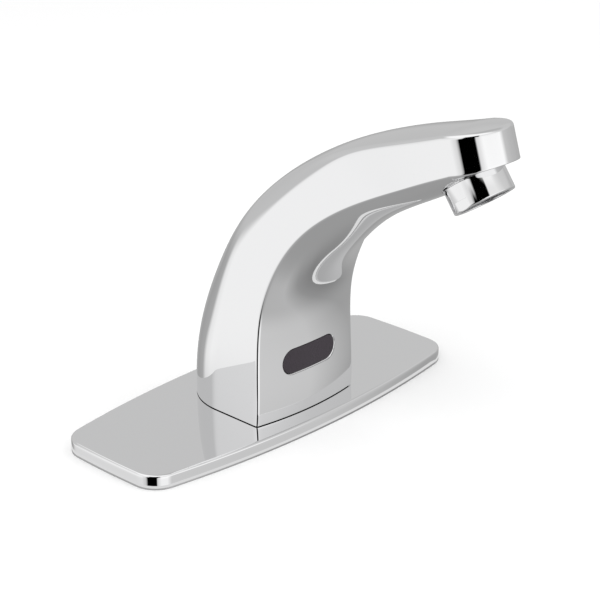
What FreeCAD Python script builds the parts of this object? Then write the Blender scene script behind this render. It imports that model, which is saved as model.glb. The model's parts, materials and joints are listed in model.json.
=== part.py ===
import FreeCAD, Part
import math
import os
import re

import Sketcher
from FreeCAD import Placement, Rotation, Vector

# A deck-mounted sensor tap in millimetres. +Z is up, X runs along the cover plate and the spout
# reaches towards -Y. The origin is the middle of the cover plate's underside, below the centre
# of the body's half-round back.

SIZES = {
    # cover plate
    "plate_length": (158.8, "6 1/4 in plate over 4 in centres"),
    "plate_depth": (63.8, "front to back at the middle"),
    "plate_end_depth": (48.0, "front to back at the ends"),
    "plate_end_bow": (0.8, "bow of the short ends"),
    "plate_corner": (10.2, "corner radius in plan"),
    "plate_height": (5.7, "deck to top face"),
    "plate_edge": (1.0, "radius of the top edge"),
    "plate_skin": (2.4, "top wall over the gasket recess"),
    "plate_rim": (3.0, "side wall round the gasket recess"),
    "plate_hole": (18.4, "radius of the hole for the foot"),
    # body casting
    "wall": (3.0, "casting wall"),
    "nose_cut_tilt": (25.0, "flat underside of the tip, from level"),
    "nose_cut_y": (-99.3, "flat underside of the tip"),
    "nose_cut_z": (116.6, "flat underside of the tip"),
    "front_corner": (1.3, "radius where side and front meet"),
    "lens_seat_y": (-19.5, "flat seat of the lens inside the front wall"),
    "lens_seat_width": (42.0, "flat seat of the lens"),
    "lens_seat_height": (15.8, "flat seat of the lens"),
    # aerator axis
    "outlet_y": (-102.9, "centre of the outlet"),
    "outlet_z": (107.0, "centre of the outlet"),
    "outlet_tilt": (36.0, "aerator axis from upright"),
    "collar_radius": (11.2, "collar under the nose"),
    "thread_radius": (10.0, "M20 x 1 outlet thread"),
    "chamber_radius": (6.3, "water chamber above the washer"),
    "chamber_height": (3.5, "water chamber above the washer"),
    # aerator
    "shell_radius": (11.0, "aerator shell"),
    "shell_height": (9.0, "visible height of the shell"),
    "shell_edge": (0.4, "rounded edges of the shell"),
    "shoulder_gap": (0.4, "gap between shell and collar"),
    "thread_reach": (5.0, "screwed length above the shoulder"),
    "insert_radius": (9.2, "insert in the shell"),
    "lip_radius": (9.0, "opening in the shell's lip"),
    "lip_height": (0.9, "height of the lip"),
    "flat_across": (20.8, "across the spanner flats"),
    "flat_height": (3.4, "height of the spanner flats"),
    "screen_thickness": (0.8, "wire screen"),
    "screen_wire": (0.5, "width of the screen's rings and bars"),
    "screen_pitch": (1.7, "spacing of the screen's rings"),
    "cartridge_height": (8.0, "flow insert above the screen"),
    "cartridge_wall": (1.2, "flow insert"),
    "cartridge_plate": (1.4, "perforated plate of the insert"),
    "cartridge_hole": (0.9, "holes of the plate"),
    "cartridge_ring": (5.2, "radius of the ring of holes"),
    "washer_thickness": (1.8, "aerator washer"),
    "washer_bore": (6.5, "aerator washer"),
    # sensor eye
    "window_width": (27.4, "width of the dark window"),
    "window_height": (9.6, "height of the dark window"),
    "window_z": (27.4, "middle of the window"),
    "window_bow": (0.72, "bow of the window's face over its width"),
    "window_face_y": (-24.22, "foremost line of the window's face"),
    "lens_rim": (1.4, "flange round the lens"),
    "lens_rim_thickness": (1.2, "flange of the lens"),
    "lens_gasket_thickness": (0.8, "gasket under the flange"),
    "eye_height": (14.0, "sensor housing"),
    "eye_depth": (10.5, "sensor housing"),
    "eye_wall": (1.2, "sensor housing wall"),
    "eye_ear_gap": (0.3, "fixing ears beyond the lens's flange"),
    "eye_ear_radius": (2.6, "fixing ears"),
    "eye_ear_thickness": (4.0, "fixing ears"),
    "eye_screw_radius": (1.2, "fixing screws"),
    "eye_screw_head": (2.2, "fixing screw heads"),
    "eye_screw_bite": (2.4, "depth of the screws in the casting"),
    "board_thickness": (1.0, "circuit board"),
    "board_depth": (7.6, "board behind the housing's front"),
    "diode_radius": (2.4, "emitter and receiver"),
    "diode_length": (5.0, "emitter and receiver"),
    "diode_x": (8.0, "emitter and receiver from the middle"),
    # foot
    "foot_inset": (1.6, "foot to the casting's inner wall"),
    "foot_height": (12.0, "block inside the body"),
    "foot_lift": (0.4, "spigot above the deck"),
    "spigot_radius": (18.0, "spigot through the cover plate"),
    "stud_radius": (3.0, "M6 stud holes"),
    "stud_x": (11.5, "stud holes"),
    "stud_y": (-7.0, "stud holes"),
    "stud_depth": (14.0, "stud holes"),
    "cable_radius": (3.0, "cable hole"),
    "cable_y": (-13.5, "cable hole"),
    "grommet_bore": (1.6, "hole for the cable in its grommet"),
    "grommet_rim": (1.2, "grommet flange beyond the hole"),
    "grommet_length": (5.0, "grommet below its flange"),
    "lock_screw_radius": (2.5, "M5 grub screw in the back"),
    "lock_screw_socket": (1.25, "hex socket of the grub screw"),
    "lock_screw_length": (5.0, "grub screw"),
    "lock_screw_bite": (1.2, "grub screw in the foot"),
    "lock_screw_z": (11.7, "height of the grub screw"),
    # inlet and non-return valve
    "inlet_y": (5.0, "inlet axis"),
    "inlet_radius": (8.33, "G 3/8 inlet thread"),
    "inlet_depth": (9.0, "G 3/8 inlet thread"),
    "tower_radius": (9.5, "upright tube on the foot"),
    "tower_bore": (7.0, "bore of the tube"),
    "tower_top": (34.0, "top of the tube"),
    "filter_radius": (5.5, "strainer basket"),
    "filter_height": (5.0, "strainer basket"),
    "filter_wall": (0.7, "strainer basket"),
    "filter_rim": (1.0, "strainer flange"),
    "seat_z": (16.4, "underside of the non-return seat"),
    "seat_height": (3.0, "non-return seat"),
    "seat_bore": (4.2, "non-return seat"),
    "poppet_radius": (5.2, "non-return poppet"),
    "poppet_thickness": (1.6, "non-return poppet"),
    "poppet_stem": (1.3, "non-return poppet stem"),
    "poppet_height": (9.4, "non-return poppet"),
    "guide_z": (27.2, "underside of the stem guide"),
    "guide_height": (2.0, "stem guide"),
    "guide_hole": (1.3, "water holes of the stem guide"),
    "guide_ring": (4.3, "ring of water holes"),
    "check_spring_radius": (3.4, "non-return spring"),
    "check_spring_wire": (0.35, "non-return spring wire radius"),
    "check_spring_pitch": (1.7, "non-return spring"),
    # solenoid valve
    "valve_y": (-3.0, "valve axis"),
    "valve_z": (36.0, "underside of the valve block"),
    "valve_width": (30.0, "valve block"),
    "valve_depth": (20.8, "valve block"),
    "valve_height": (10.0, "valve block"),
    "plug_length": (4.5, "plug in the upright tube"),
    "plug_boss": (7.6, "boss over the plug"),
    "plug_boss_height": (6.0, "boss over the plug"),
    "valve_port": (2.6, "inlet passage"),
    "cross_port": (2.2, "outlet passage"),
    "cross_port_z": (39.4, "outlet passage"),
    "annulus_outer": (9.3, "inlet chamber round the seat"),
    "annulus_inner": (5.5, "inlet chamber round the seat"),
    "annulus_depth": (5.5, "inlet chamber round the seat"),
    "valve_seat_bore": (4.0, "bore of the main seat"),
    "valve_seat_drop": (0.4, "main seat below the block's face"),
    "piston_seal_thickness": (0.8, "rubber disc under the piston"),
    "piston_seal_radius": (6.2, "rubber disc under the piston"),
    "piston_height": (2.4, "servo piston above its rubber disc"),
    "pilot_radius": (0.5, "pilot hole"),
    "pilot_boss": (1.6, "pilot nozzle"),
    "pilot_boss_height": (0.8, "pilot nozzle"),
    "bonnet_height": (6.0, "bonnet flange"),
    "bonnet_chamber": (8.6, "pressure chamber radius"),
    "bonnet_chamber_height": (4.8, "pressure chamber"),
    "bonnet_corner": (3.0, "corners of block and bonnet"),
    "tube_outer": (4.6, "armature tube"),
    "tube_bore": (3.6, "armature tube"),
    "tube_height": (17.0, "armature tube above the bonnet"),
    "tube_bore_top": (62.8, "underside of the fixed pole"),
    "plunger_length": (11.0, "plunger"),
    "plunger_recess": (2.2, "spring recess radius"),
    "plunger_recess_depth": (4.0, "spring recess"),
    "plunger_spring_radius": (1.7, "plunger spring"),
    "plunger_spring_wire": (0.25, "plunger spring wire radius"),
    "plunger_spring_pitch": (1.4, "plunger spring"),
    "coil_radius": (8.0, "bobbin flanges"),
    "coil_height": (12.0, "bobbin"),
    "coil_flange": (1.0, "bobbin flanges"),
    "coil_hub": (5.4, "bobbin hub"),
    "winding_radius": (7.6, "copper winding"),
    "yoke_thickness": (1.2, "steel yoke"),
    "yoke_width": (10.0, "steel yoke"),
    "nut_radius": (6.6, "coil nut across corners, half"),
    "nut_height": (2.0, "coil nut"),
    "valve_screw_x": (12.2, "bonnet screws from the middle"),
    "valve_screw_radius": (1.2, "bonnet screws"),
    "valve_screw_head": (2.1, "bonnet screw heads"),
    "screw_head_height": (1.5, "height of the small screw heads"),
    "valve_screw_bite": (6.0, "bonnet screws in the block"),
    # waterway
    "pipe_radius": (3.2, "outlet tube"),
    "pipe_bore": (2.4, "outlet tube"),
    "pipe_y": (-17.2, "upright run of the outlet tube"),
    "pipe_start": (42.0, "lower end of the outlet tube"),
    "pipe_bend_z": (73.0, "first bend"),
    "pipe_knee_y": (-45.0, "second bend"),
    "pipe_knee_z": (99.0, "second bend"),
    "pipe_rise": (24.9, "slope of the last run"),
    "pipe_last_run": (39.2, "last run"),
    "pipe_bend_radius": (20.0, "bends of the outlet tube"),
    "pipe_socket_wall": (1.0, "boss round the outlet tube"),
    "ring_wire": (0.8, "inlet O-ring section radius"),
    # clearances
    "slip": (0.05, "radial clearance of running and plug fits"),
    "trim_gap": (0.12, "gap round the window"),
    "loose": (0.3, "gap round loose fitted parts"),
}

# Straight steps in a turn of each spring.
SPRING_STEPS = 12

# Sections of the casting, foot to nose: the points where the section's middle line meets the
# front (or underside) and the back (or top), half its width, the radius of the shoulders, and
# the radii of the crowned back and the bowed front. The last one is the axis the tip turns on.
SECTION_COLUMNS = ("front_y", "front_z", "back_y", "back_z", "half", "shoulder", "crown", "bow")
SECTIONS = {
    "foot": (-24.4, 5.7, 25.5, 5.7, 25.9, 25.2, 26.3, 130.0),
    "eye": (-24.4, 25.2, 23.5, 30.4, 25.5, 23.3, 25.9, 135.0),
    "waist": (-25.3, 46.2, 16.5, 51.8, 24.7, 17.6, 25.6, 106.0),
    "neck": (-30.9, 60.0, 4.8, 73.3, 24.1, 13.0, 30.1, 63.0),
    "arch": (-44.1, 75.8, -16.4, 96.7, 23.2, 10.0, 46.4, 37.0),
    "spout": (-63.4, 92.3, -41.1, 113.5, 21.4, 6.0, 70.0, 33.0),
    "throat": (-85.8, 105.0, -64.5, 123.1, 18.9, 2.8, 95.0, 28.0),
    "tip": (-100.3, 113.54, -94.5, 131.95, 14.5, 3.6, 100.0, 25.0),
}

doc = FreeCAD.newDocument("sensor_tap")
sheet = doc.addObject("Spreadsheet::Sheet", "Sizes")


def fill_sheet():
    """Write every driving dimension and section into the sheet, one row each."""
    rows = dict(SIZES)
    for name, values in SECTIONS.items():
        for column, value in zip(SECTION_COLUMNS, values):
            rows[name + "_" + column] = (value, "section " + name)
    for row, (alias, (value, note)) in enumerate(rows.items(), start=1):
        sheet.set("A%d" % row, alias)
        sheet.set("B%d" % row, str(value))
        sheet.set("C%d" % row, note)
        sheet.setAlias("B%d" % row, alias)
    doc.recompute()
    return set(rows)


ALIASES = fill_sheet()


def bound(text):
    """The same expression as other objects read it, with the sheet's name before each alias."""
    return re.sub(r"[a-z_]+", lambda m: "Sizes." + m.group() if m.group() in ALIASES else m.group(), text)


def value(text):
    """The number an expression in the sheet's aliases comes to."""
    return float(sheet.evalExpression(text))


# ---------------------------------------------------------------- building helpers


def new_body(label):
    body = doc.addObject("PartDesign::Body", label)
    body.Label = label
    return body


def origin_plane(body, role):
    return next(feature for feature in body.Origin.OriginFeatures if feature.Role == role)


def new_sketch(body, role="XY_Plane", y="0", z="0", tilt="0"):
    """A sketch on an origin plane. y and z move it, and tilt leans it back about X, in degrees."""
    sketch = body.newObject("Sketcher::SketchObject", body.Name + "_sketch")
    sketch.AttachmentSupport = [(origin_plane(body, role), "")]
    sketch.MapMode = "FlatFace"
    turn = Rotation(Vector(1, 0, 0), value(tilt))
    sketch.AttachmentOffset = Placement(Vector(0, value(y), value(z)), turn)
    sketch.setExpression("AttachmentOffset.Base.y", bound(y))
    sketch.setExpression("AttachmentOffset.Base.z", bound(z))
    return sketch


def pin_point(sketch, geometry, end, x, y):
    """Hold a point of a sketch at two expressions."""
    for kind, text in (("DistanceX", x), ("DistanceY", y)):
        index = sketch.addConstraint(Sketcher.Constraint(kind, -1, 1, geometry, end, value(text)))
        sketch.setExpression("Constraints[%d]" % index, bound(text))


def draw_outline(sketch, points, bows=None):
    """A closed outline through points, each a pair of expressions. bows gives a side its rise."""
    bows = bows or {}
    spots = [Vector(value(x), value(y), 0) for x, y in points]
    count = len(points)
    for i in range(count):
        start, end = spots[i], spots[(i + 1) % count]
        if i in bows:
            along = (end - start).normalize()
            outward = Vector(along.y, -along.x, 0)
            middle = (start + end) * 0.5 + outward * value(bows[i])
            sketch.addGeometry(Part.Arc(start, middle, end))
        else:
            sketch.addGeometry(Part.LineSegment(start, end))
    for i in range(count):
        after = (i + 1) % count
        if i in bows:
            reversed_arc = sketch.getPoint(i, 1).distanceToPoint(spots[i]) > 1e-6
        else:
            reversed_arc = False
        first, last = (2, 1) if reversed_arc else (1, 2)
        pin_point(sketch, i, first, *points[i])
        pin_point(sketch, i, last, *points[after])
        if i in bows:
            (x1, y1), (x2, y2) = points[i], points[after]
            chord = "((%s) - (%s)) ^ 2 + ((%s) - (%s)) ^ 2" % (x2, x1, y2, y1)
            radius = "abs((%s) / (8 * (%s)) + (%s) / 2)" % (chord, bows[i], bows[i])
            index = sketch.addConstraint(Sketcher.Constraint("Radius", i, value(radius)))
            sketch.setExpression("Constraints[%d]" % index, bound(radius))
    return sketch


def draw_circle(sketch, radius, x="0", y="0"):
    index = sketch.addGeometry(Part.Circle(Vector(value(x), value(y), 0), Vector(0, 0, 1), value(radius)))
    pin_point(sketch, index, 3, x, y)
    held = sketch.addConstraint(Sketcher.Constraint("Radius", index, value(radius)))
    sketch.setExpression("Constraints[%d]" % held, bound(radius))
    return sketch


def draw_stadium(sketch, width, height, y="0"):
    """A long slot with half-round ends, centred on the sketch's vertical axis."""
    half = "(%s) / 2" % height
    reach = "(%s) / 2 - (%s) / 2" % (width, height)
    corners = [
        ("-(%s)" % reach, "(%s) - %s" % (y, half)),
        (reach, "(%s) - %s" % (y, half)),
        (reach, "(%s) + %s" % (y, half)),
        ("-(%s)" % reach, "(%s) + %s" % (y, half)),
    ]
    spots = [Vector(value(a), value(b), 0) for a, b in corners]
    middle = value(y)
    tip = value("(%s) / 2" % width)
    sketch.addGeometry(Part.LineSegment(spots[0], spots[1]))
    sketch.addGeometry(Part.Arc(spots[1], Vector(tip, middle, 0), spots[2]))
    sketch.addGeometry(Part.LineSegment(spots[2], spots[3]))
    sketch.addGeometry(Part.Arc(spots[3], Vector(-tip, middle, 0), spots[0]))
    for line, (first, last) in ((0, (0, 1)), (2, (2, 3))):
        pin_point(sketch, line, 1, *corners[first])
        pin_point(sketch, line, 2, *corners[last])
    for arc, side in ((1, reach), (3, "-(%s)" % reach)):
        pin_point(sketch, arc, 3, side, y)
        sketch.addConstraint(Sketcher.Constraint("Coincident", arc - 1, 2, arc, 1))
        index = sketch.addConstraint(Sketcher.Constraint("DistanceX", -1, 1, arc, 2, value(side)))
        sketch.setExpression("Constraints[%d]" % index, bound(side))
    return sketch


def pad(body, sketch, length, reverse=False):
    feature = body.newObject("PartDesign::Pad", body.Name + "_pad")
    feature.Profile = sketch
    feature.Length = value(length)
    feature.setExpression("Length", bound(length))
    feature.Reversed = reverse
    doc.recompute()
    return feature


def pocket(body, sketch, depth, reverse=False):
    """Cut a sketch into the body: against the sketch's normal, or along it where reverse is set."""
    before = body.Shape.Volume
    feature = body.newObject("PartDesign::Pocket", body.Name + "_pocket")
    feature.Profile = sketch
    feature.Length = value(depth)
    feature.setExpression("Length", bound(depth))
    feature.Reversed = reverse
    doc.recompute()
    if body.Shape.Volume > before - 1e-6:
        raise RuntimeError("a pocket of %s cuts nothing" % body.Label)
    return feature


def turned(label, points):
    """A turned piece: its outline in radius and height, spun about its own upright axis."""
    body = new_body(label)
    sketch = draw_outline(new_sketch(body, "XZ_Plane"), points)
    spin = body.newObject("PartDesign::Revolution", label + "_turn")
    spin.Profile = sketch
    spin.ReferenceAxis = (sketch, ["V_Axis"])
    spin.Angle = 360
    doc.recompute()
    return body


def place(body, x="0", y="0", z="0", tilt=None):
    """Put a body at a point, leaning forward by tilt degrees where it is given."""
    turn = Rotation(Vector(-1, 0, 0), value(tilt)) if tilt else Rotation()
    body.Placement = Placement(Vector(value(x), value(y), value(z)), turn)
    for axis, text in (("x", x), ("y", y), ("z", z)):
        body.setExpression("Placement.Base." + axis, bound(text))
    return body


def dress_edges(body, kind, pick, size):
    """Fillet or chamfer the edges that pick chooses, by a size from the sheet."""
    doc.recompute()
    base = body.Tip
    names = ["Edge%d" % (i + 1) for i, edge in enumerate(base.Shape.Edges) if pick(edge)]
    feature = body.newObject("PartDesign::" + kind, body.Name + "_edge")
    feature.Base = (base, names)
    if kind == "Fillet":
        feature.Radius = value(size)
        feature.setExpression("Radius", bound(size))
    else:
        feature.Size = value(size)
        feature.setExpression("Size", bound(size))
    doc.recompute()
    return feature


def upright(edge):
    """Whether an edge is a straight vertical line."""
    if len(edge.Vertexes) < 2:
        return False
    a, b = edge.Vertexes[0].Point, edge.Vertexes[1].Point
    return abs(a.x - b.x) < 1e-4 and abs(a.y - b.y) < 1e-4


# ---------------------------------------------------------------- the casting's sections


def key_section(name):
    return {column: value("%s_%s" % (name, column)) for column in SECTION_COLUMNS}


def middle(section):
    return Vector(0, section["front_y"] + section["back_y"], section["front_z"] + section["back_z"]) * 0.5


def between(first, last, share):
    return {column: first[column] * (1 - share) + last[column] * share for column in SECTION_COLUMNS}


def casting_sections(last_name, count):
    """Evenly spaced sections, foot first, on smooth curves through the key sections."""
    names = list(SECTIONS)
    keys = [key_section(name) for name in names]
    keys.insert(-1, between(keys[-2], keys[-1], 0.5))
    stops = [0.0]
    for before, after in zip(keys, keys[1:]):
        stops.append(stops[-1] + middle(before).distanceToPoint(middle(after)))
    curves = {}
    for column in SECTION_COLUMNS:
        curve = Part.BSplineCurve()
        points = [Vector(stop, key[column], 0) for stop, key in zip(stops, keys)]
        curve.interpolate(Points=points, Parameters=stops)
        curves[column] = curve
    reach = stops[-1] if last_name == "tip" else stops[names.index(last_name)]
    shares = [reach * step / (count - 1) for step in range(count)]
    return [{column: curves[column].value(stop).y for column in SECTION_COLUMNS} for stop in shares]


def draw_section(sketch, section, inset=0.0, half_only=False):
    """The casting's section: crowned back, round shoulders, flat sides and bowed front."""
    half = section["half"] - inset
    corner = value("front_corner")
    shoulder = max(section["shoulder"] - inset, corner / 2)
    crown = max(section["crown"] - inset, half + 0.1)
    bow = section["bow"] - inset
    rise = section["back_z"] - section["front_z"]
    run = section["back_y"] - section["front_y"]
    low, high = inset, math.hypot(rise, run) - inset
    lift = high - crown + math.sqrt((crown - shoulder) ** 2 - (half - shoulder) ** 2)
    heel = low + bow - math.sqrt((bow - corner) ** 2 - (half - corner) ** 2)
    lean = math.asin((half - shoulder) / (crown - shoulder))
    dip = math.asin((half - corner) / (bow - corner))

    def spot(x, y, radius, angle):
        return Vector(x + radius * math.sin(angle), y + radius * math.cos(angle), 0)

    def mirror(point):
        return Vector(-point.x, point.y, 0)

    top = Vector(0, high, 0)
    bottom = Vector(0, low, 0)
    shoulder_end = spot(half - shoulder, lift, shoulder, lean)
    shoulder_mid = spot(half - shoulder, lift, shoulder, (lean + math.pi / 2) / 2)
    side_top = Vector(half, lift, 0)
    side_low = Vector(half, heel, 0)
    corner_mid = spot(half - corner, heel, corner, (math.pi * 3 / 2 - dip) / 2)
    corner_end = spot(half - corner, heel, corner, math.pi - dip)
    right = [
        Part.Arc(shoulder_end, shoulder_mid, side_top),
        Part.LineSegment(side_top, side_low),
        Part.Arc(side_low, corner_mid, corner_end),
    ]
    if half_only:
        crown_mid = spot(0, high - crown, crown, lean / 2)
        bow_mid = spot(0, low + bow, -bow, -dip / 2)
        edges = [Part.Arc(top, crown_mid, shoulder_end)] + right
        edges += [Part.Arc(corner_end, bow_mid, bottom), Part.LineSegment(bottom, top)]
    else:
        edges = [Part.Arc(mirror(shoulder_end), top, shoulder_end)] + right
        edges += [
            Part.Arc(corner_end, bottom, mirror(corner_end)),
            Part.Arc(mirror(corner_end), mirror(corner_mid), mirror(side_low)),
            Part.LineSegment(mirror(side_low), mirror(side_top)),
            Part.Arc(mirror(side_top), mirror(shoulder_mid), mirror(shoulder_end)),
        ]
    for edge in edges:
        sketch.addGeometry(edge)
    for index in range(len(edges)):
        sketch.addConstraint(Sketcher.Constraint("Block", index))
    return sketch


def section_sketch(body, section, inset=0.0, half_only=False):
    """A sketch of one section, in the plane that holds its front and back points and X."""
    rise = section["back_z"] - section["front_z"]
    run = section["back_y"] - section["front_y"]
    tilt = str(math.degrees(math.atan2(rise, run)))
    sketch = new_sketch(body, "XY_Plane", str(section["front_y"]), str(section["front_z"]), tilt)
    return draw_section(sketch, section, inset, half_only)


def loft(body, kind, sketches):
    feature = body.newObject("PartDesign::" + kind, body.Name + "_loft")
    feature.Profile = sketches[0]
    feature.Sections = sketches[1:]
    doc.recompute()
    return feature


AXIS_Y = "(sin(outlet_tilt))"
AXIS_Z = "(cos(outlet_tilt))"
COLLAR_FACE = "(shell_height + shoulder_gap)"
BORE_TOP = "(shell_height + thread_reach + washer_thickness + 0.1)"


def on_axis(height):
    """Expressions for the y and z of a point at a height above the outlet, on the aerator's axis."""
    return ("outlet_y + (%s) * %s" % (height, AXIS_Y), "outlet_z + (%s) * %s" % (height, AXIS_Z))


def axis_sketch(body, height):
    """A sketch square to the aerator's axis at a height above the outlet."""
    y, z = on_axis(height)
    return new_sketch(body, "XY_Plane", y, z, "-outlet_tilt")


def pipe_sketch(body, y, z):
    """A sketch square to the last run of the outlet tube."""
    return new_sketch(body, "XY_Plane", y, z, "90 - pipe_rise")


def window_sketch(body, y, width, height):
    """A stadium in the plane of the window, at a distance from the body's middle."""
    sketch = new_sketch(body, "XZ_Plane", z="-(%s)" % y)
    return draw_stadium(sketch, width, height, "window_z")


def box(x1, x2, y1, y2):
    """The corners of a rectangle, counter-clockwise."""
    return [(x1, y1), (x2, y1), (x2, y2), (x1, y2)]


EYE_WIDTH = "(window_width + 2 * lens_rim)"
EYE_SCREW_X = "(window_width / 2 + lens_rim + eye_ear_gap + eye_ear_radius)"
PIPE_END_Y = "(pipe_knee_y - pipe_last_run * cos(pipe_rise))"
PIPE_END_Z = "(pipe_knee_z + pipe_last_run * sin(pipe_rise))"


def build_body_shell():
    """The hollow casting: lofted through its sections, with a revolved nose and a flat lens seat."""
    body = new_body("body_shell")
    loft(body, "AdditiveLoft", [section_sketch(body, part) for part in casting_sections("tip", 14)])
    tip = section_sketch(body, key_section("tip"), half_only=True)
    spin = body.newObject("PartDesign::Revolution", "nose_turn")
    spin.Profile = tip
    spin.ReferenceAxis = (tip, ["V_Axis"])
    spin.Angle = 180
    spin.Reversed = True
    doc.recompute()
    under = new_sketch(body, "XY_Plane", "nose_cut_y", "nose_cut_z", "-nose_cut_tilt")
    pocket(body, draw_outline(under, box("-tip_half - 1", "tip_half + 1", "-tip_half * 2", "0")), "tip_half")
    pad(body, draw_circle(axis_sketch(body, COLLAR_FACE), "collar_radius"), "thread_reach")
    pocket(body, draw_circle(axis_sketch(body, COLLAR_FACE), "shell_radius + shoulder_gap"), "shell_height")
    half_shell = "shell_height / 2"
    pocket(body, draw_circle(axis_sketch(body, half_shell), "thread_radius + slip"), BORE_TOP + " - " + half_shell, True)
    pocket(body, draw_circle(axis_sketch(body, half_shell), "chamber_radius"),
           BORE_TOP + " + chamber_height - " + half_shell, True)
    inside = [section_sketch(body, part, value("wall")) for part in casting_sections("throat", 9)]
    loft(body, "SubtractiveLoft", inside)
    half = "lens_seat_width / 2"
    seat = box("-" + half, half, "lens_seat_y - wall", "lens_seat_y")
    pad(body, draw_outline(new_sketch(body, z="window_z - lens_seat_height / 2"), seat), "lens_seat_height")
    pocket(body, draw_circle(pipe_sketch(body, PIPE_END_Y, PIPE_END_Z), "pipe_radius + slip"), "pipe_last_run / 3")
    pocket(body, draw_circle(pipe_sketch(body, PIPE_END_Y, PIPE_END_Z), "pipe_bore"), "pipe_last_run / 4", True)
    wide = "window_width + 2 * trim_gap"
    tall = "window_height + 2 * trim_gap"
    pocket(body, window_sketch(body, "lens_seat_y", wide, tall), "wall * 3", True)
    holes = new_sketch(body, "XZ_Plane", z="-lens_seat_y")
    for side in ("-", ""):
        draw_circle(holes, "eye_screw_radius", side + EYE_SCREW_X, "window_z")
    pocket(body, holes, "eye_screw_bite", True)
    lock = draw_circle(new_sketch(body, "XZ_Plane", z="-foot_back_y - 1"), "lock_screw_radius + slip", "0", "lock_screw_z")
    pocket(body, lock, "wall * 2", True)
    return body


def plate_outline(sketch, inset="0"):
    """The plate's outline in plan, moved in all round by inset, before its corners are rounded."""
    x = "plate_length / 2 - (%s)" % inset
    y = "plate_end_depth / 2 - (%s)" % inset
    bow = "(plate_depth - plate_end_depth) / 2"
    corners = [("-(%s)" % x, "-(%s)" % y), (x, "-(%s)" % y), (x, y), ("-(%s)" % x, y)]
    return draw_outline(sketch, corners, {0: bow, 1: "plate_end_bow", 2: bow, 3: "plate_end_bow"})


def outer_upright(body, reach):
    """The upright edges of a body that lie beyond a distance along X."""
    return lambda edge: upright(edge) and abs(edge.Vertexes[0].Point.x) > value(reach)


def build_cover_plate():
    body = new_body("cover_plate")
    pad(body, plate_outline(new_sketch(body)), "plate_height")
    dress_edges(body, "Fillet", outer_upright(body, "plate_length / 4"), "plate_corner")
    top = value("plate_height")
    dress_edges(body, "Fillet", lambda e: all(abs(v.Point.z - top) < 1e-4 for v in e.Vertexes), "plate_edge")
    return body


def build_plate_parts():
    """The cover plate, hollow underneath, and the rubber sheet that fills the hollow."""
    gasket = new_body("plate_gasket")
    recess = "plate_height - plate_skin"
    pad(gasket, plate_outline(new_sketch(gasket), "plate_rim + loose"), recess)
    dress_edges(gasket, "Fillet", outer_upright(gasket, "plate_length / 4"), "plate_corner - plate_rim")
    pocket(gasket, draw_circle(new_sketch(gasket), "plate_hole"), recess, True)
    plate = build_cover_plate()
    hollow = plate_outline(new_sketch(plate), "plate_rim")
    pocket(plate, hollow, recess, True)
    inner = lambda e: upright(e) and abs(e.Vertexes[0].Point.x) > value("plate_length / 4") and e.Length > 3 and \
        abs(abs(e.Vertexes[0].Point.x) - value("plate_length / 2 - plate_rim")) < 0.01
    dress_edges(plate, "Fillet", inner, "plate_corner - plate_rim")
    pocket(plate, draw_circle(new_sketch(plate), "plate_hole"), "plate_height", True)
    return [plate, gasket]


def build_foot_parts():
    """The brass block the body is locked to, its grub screw and the cable grommet."""
    foot = new_body("base_block")
    base = draw_section(new_sketch(foot, "XY_Plane", "foot_front_y", "plate_height"), key_section("foot"),
                        value("wall + foot_inset"))
    pad(foot, base, "foot_height")
    pad(foot, draw_circle(new_sketch(foot, z="foot_lift"), "spigot_radius"), "plate_height - foot_lift")
    pad(foot, draw_circle(new_sketch(foot, z="plate_height"), "tower_radius", "0", "inlet_y"), "tower_top - plate_height")
    floor = "foot_lift"
    pocket(foot, draw_circle(new_sketch(foot, z=floor), "inlet_radius", "0", "inlet_y"), "inlet_depth", True)
    pocket(foot, draw_circle(new_sketch(foot, z=floor), "tower_bore", "0", "inlet_y"), "tower_top", True)
    studs = new_sketch(foot, z=floor)
    for side in ("-", ""):
        draw_circle(studs, "stud_radius", side + "stud_x", "stud_y")
    pocket(foot, studs, "stud_depth", True)
    pocket(foot, draw_circle(new_sketch(foot, z=floor), "cable_radius", "0", "cable_y"), "foot_height * 2", True)
    back = "foot_back_y - wall - foot_inset - lock_screw_bite"
    dimple = new_sketch(foot, "XZ_Plane", z="-(%s)" % back)
    pocket(foot, draw_circle(dimple, "lock_screw_radius + slip", "0", "lock_screw_z"), "lock_screw_bite + 1")

    grommet = turned("cable_grommet", [
        ("grommet_bore", "-grommet_length"),
        ("cable_radius - slip", "-grommet_length"),
        ("cable_radius - slip", "0"),
        ("cable_radius + grommet_rim", "0"),
        ("cable_radius + grommet_rim", "1"),
        ("grommet_bore", "1"),
    ])
    place(grommet, "0", "cable_y", "plate_height + foot_height")

    screw = new_body("locking_screw")
    pad(screw, draw_circle(new_sketch(screw, "XZ_Plane"), "lock_screw_radius"), "lock_screw_length", True)
    hexagon = hexagon_points("lock_screw_socket")
    pocket(screw, draw_outline(new_sketch(screw, "XZ_Plane", z="-lock_screw_length"), hexagon), "lock_screw_length / 2", True)
    place(screw, "0", back, "lock_screw_z")
    return [foot, grommet, screw]


def hexagon_points(radius):
    return [("(%s) * cos(%d)" % (radius, turn), "(%s) * sin(%d)" % (radius, turn)) for turn in range(0, 360, 60)]


def ring(label, inner, outer, height):
    """A plain turned ring standing on its own origin."""
    return turned(label, [(inner, "0"), (outer, "0"), (outer, height), (inner, height)])


def repeat_round(body, feature, count):
    """Repeat a cut round the body's own upright axis."""
    body.Tip = feature
    pattern = body.newObject("PartDesign::PolarPattern", body.Name + "_round")
    pattern.Originals = [feature]
    pattern.Axis = (next(f for f in body.Origin.OriginFeatures if f.Role == "Z_Axis"), [""])
    pattern.Angle = 360
    pattern.Occurrences = count
    body.Tip = pattern
    doc.recompute()
    return pattern


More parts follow.
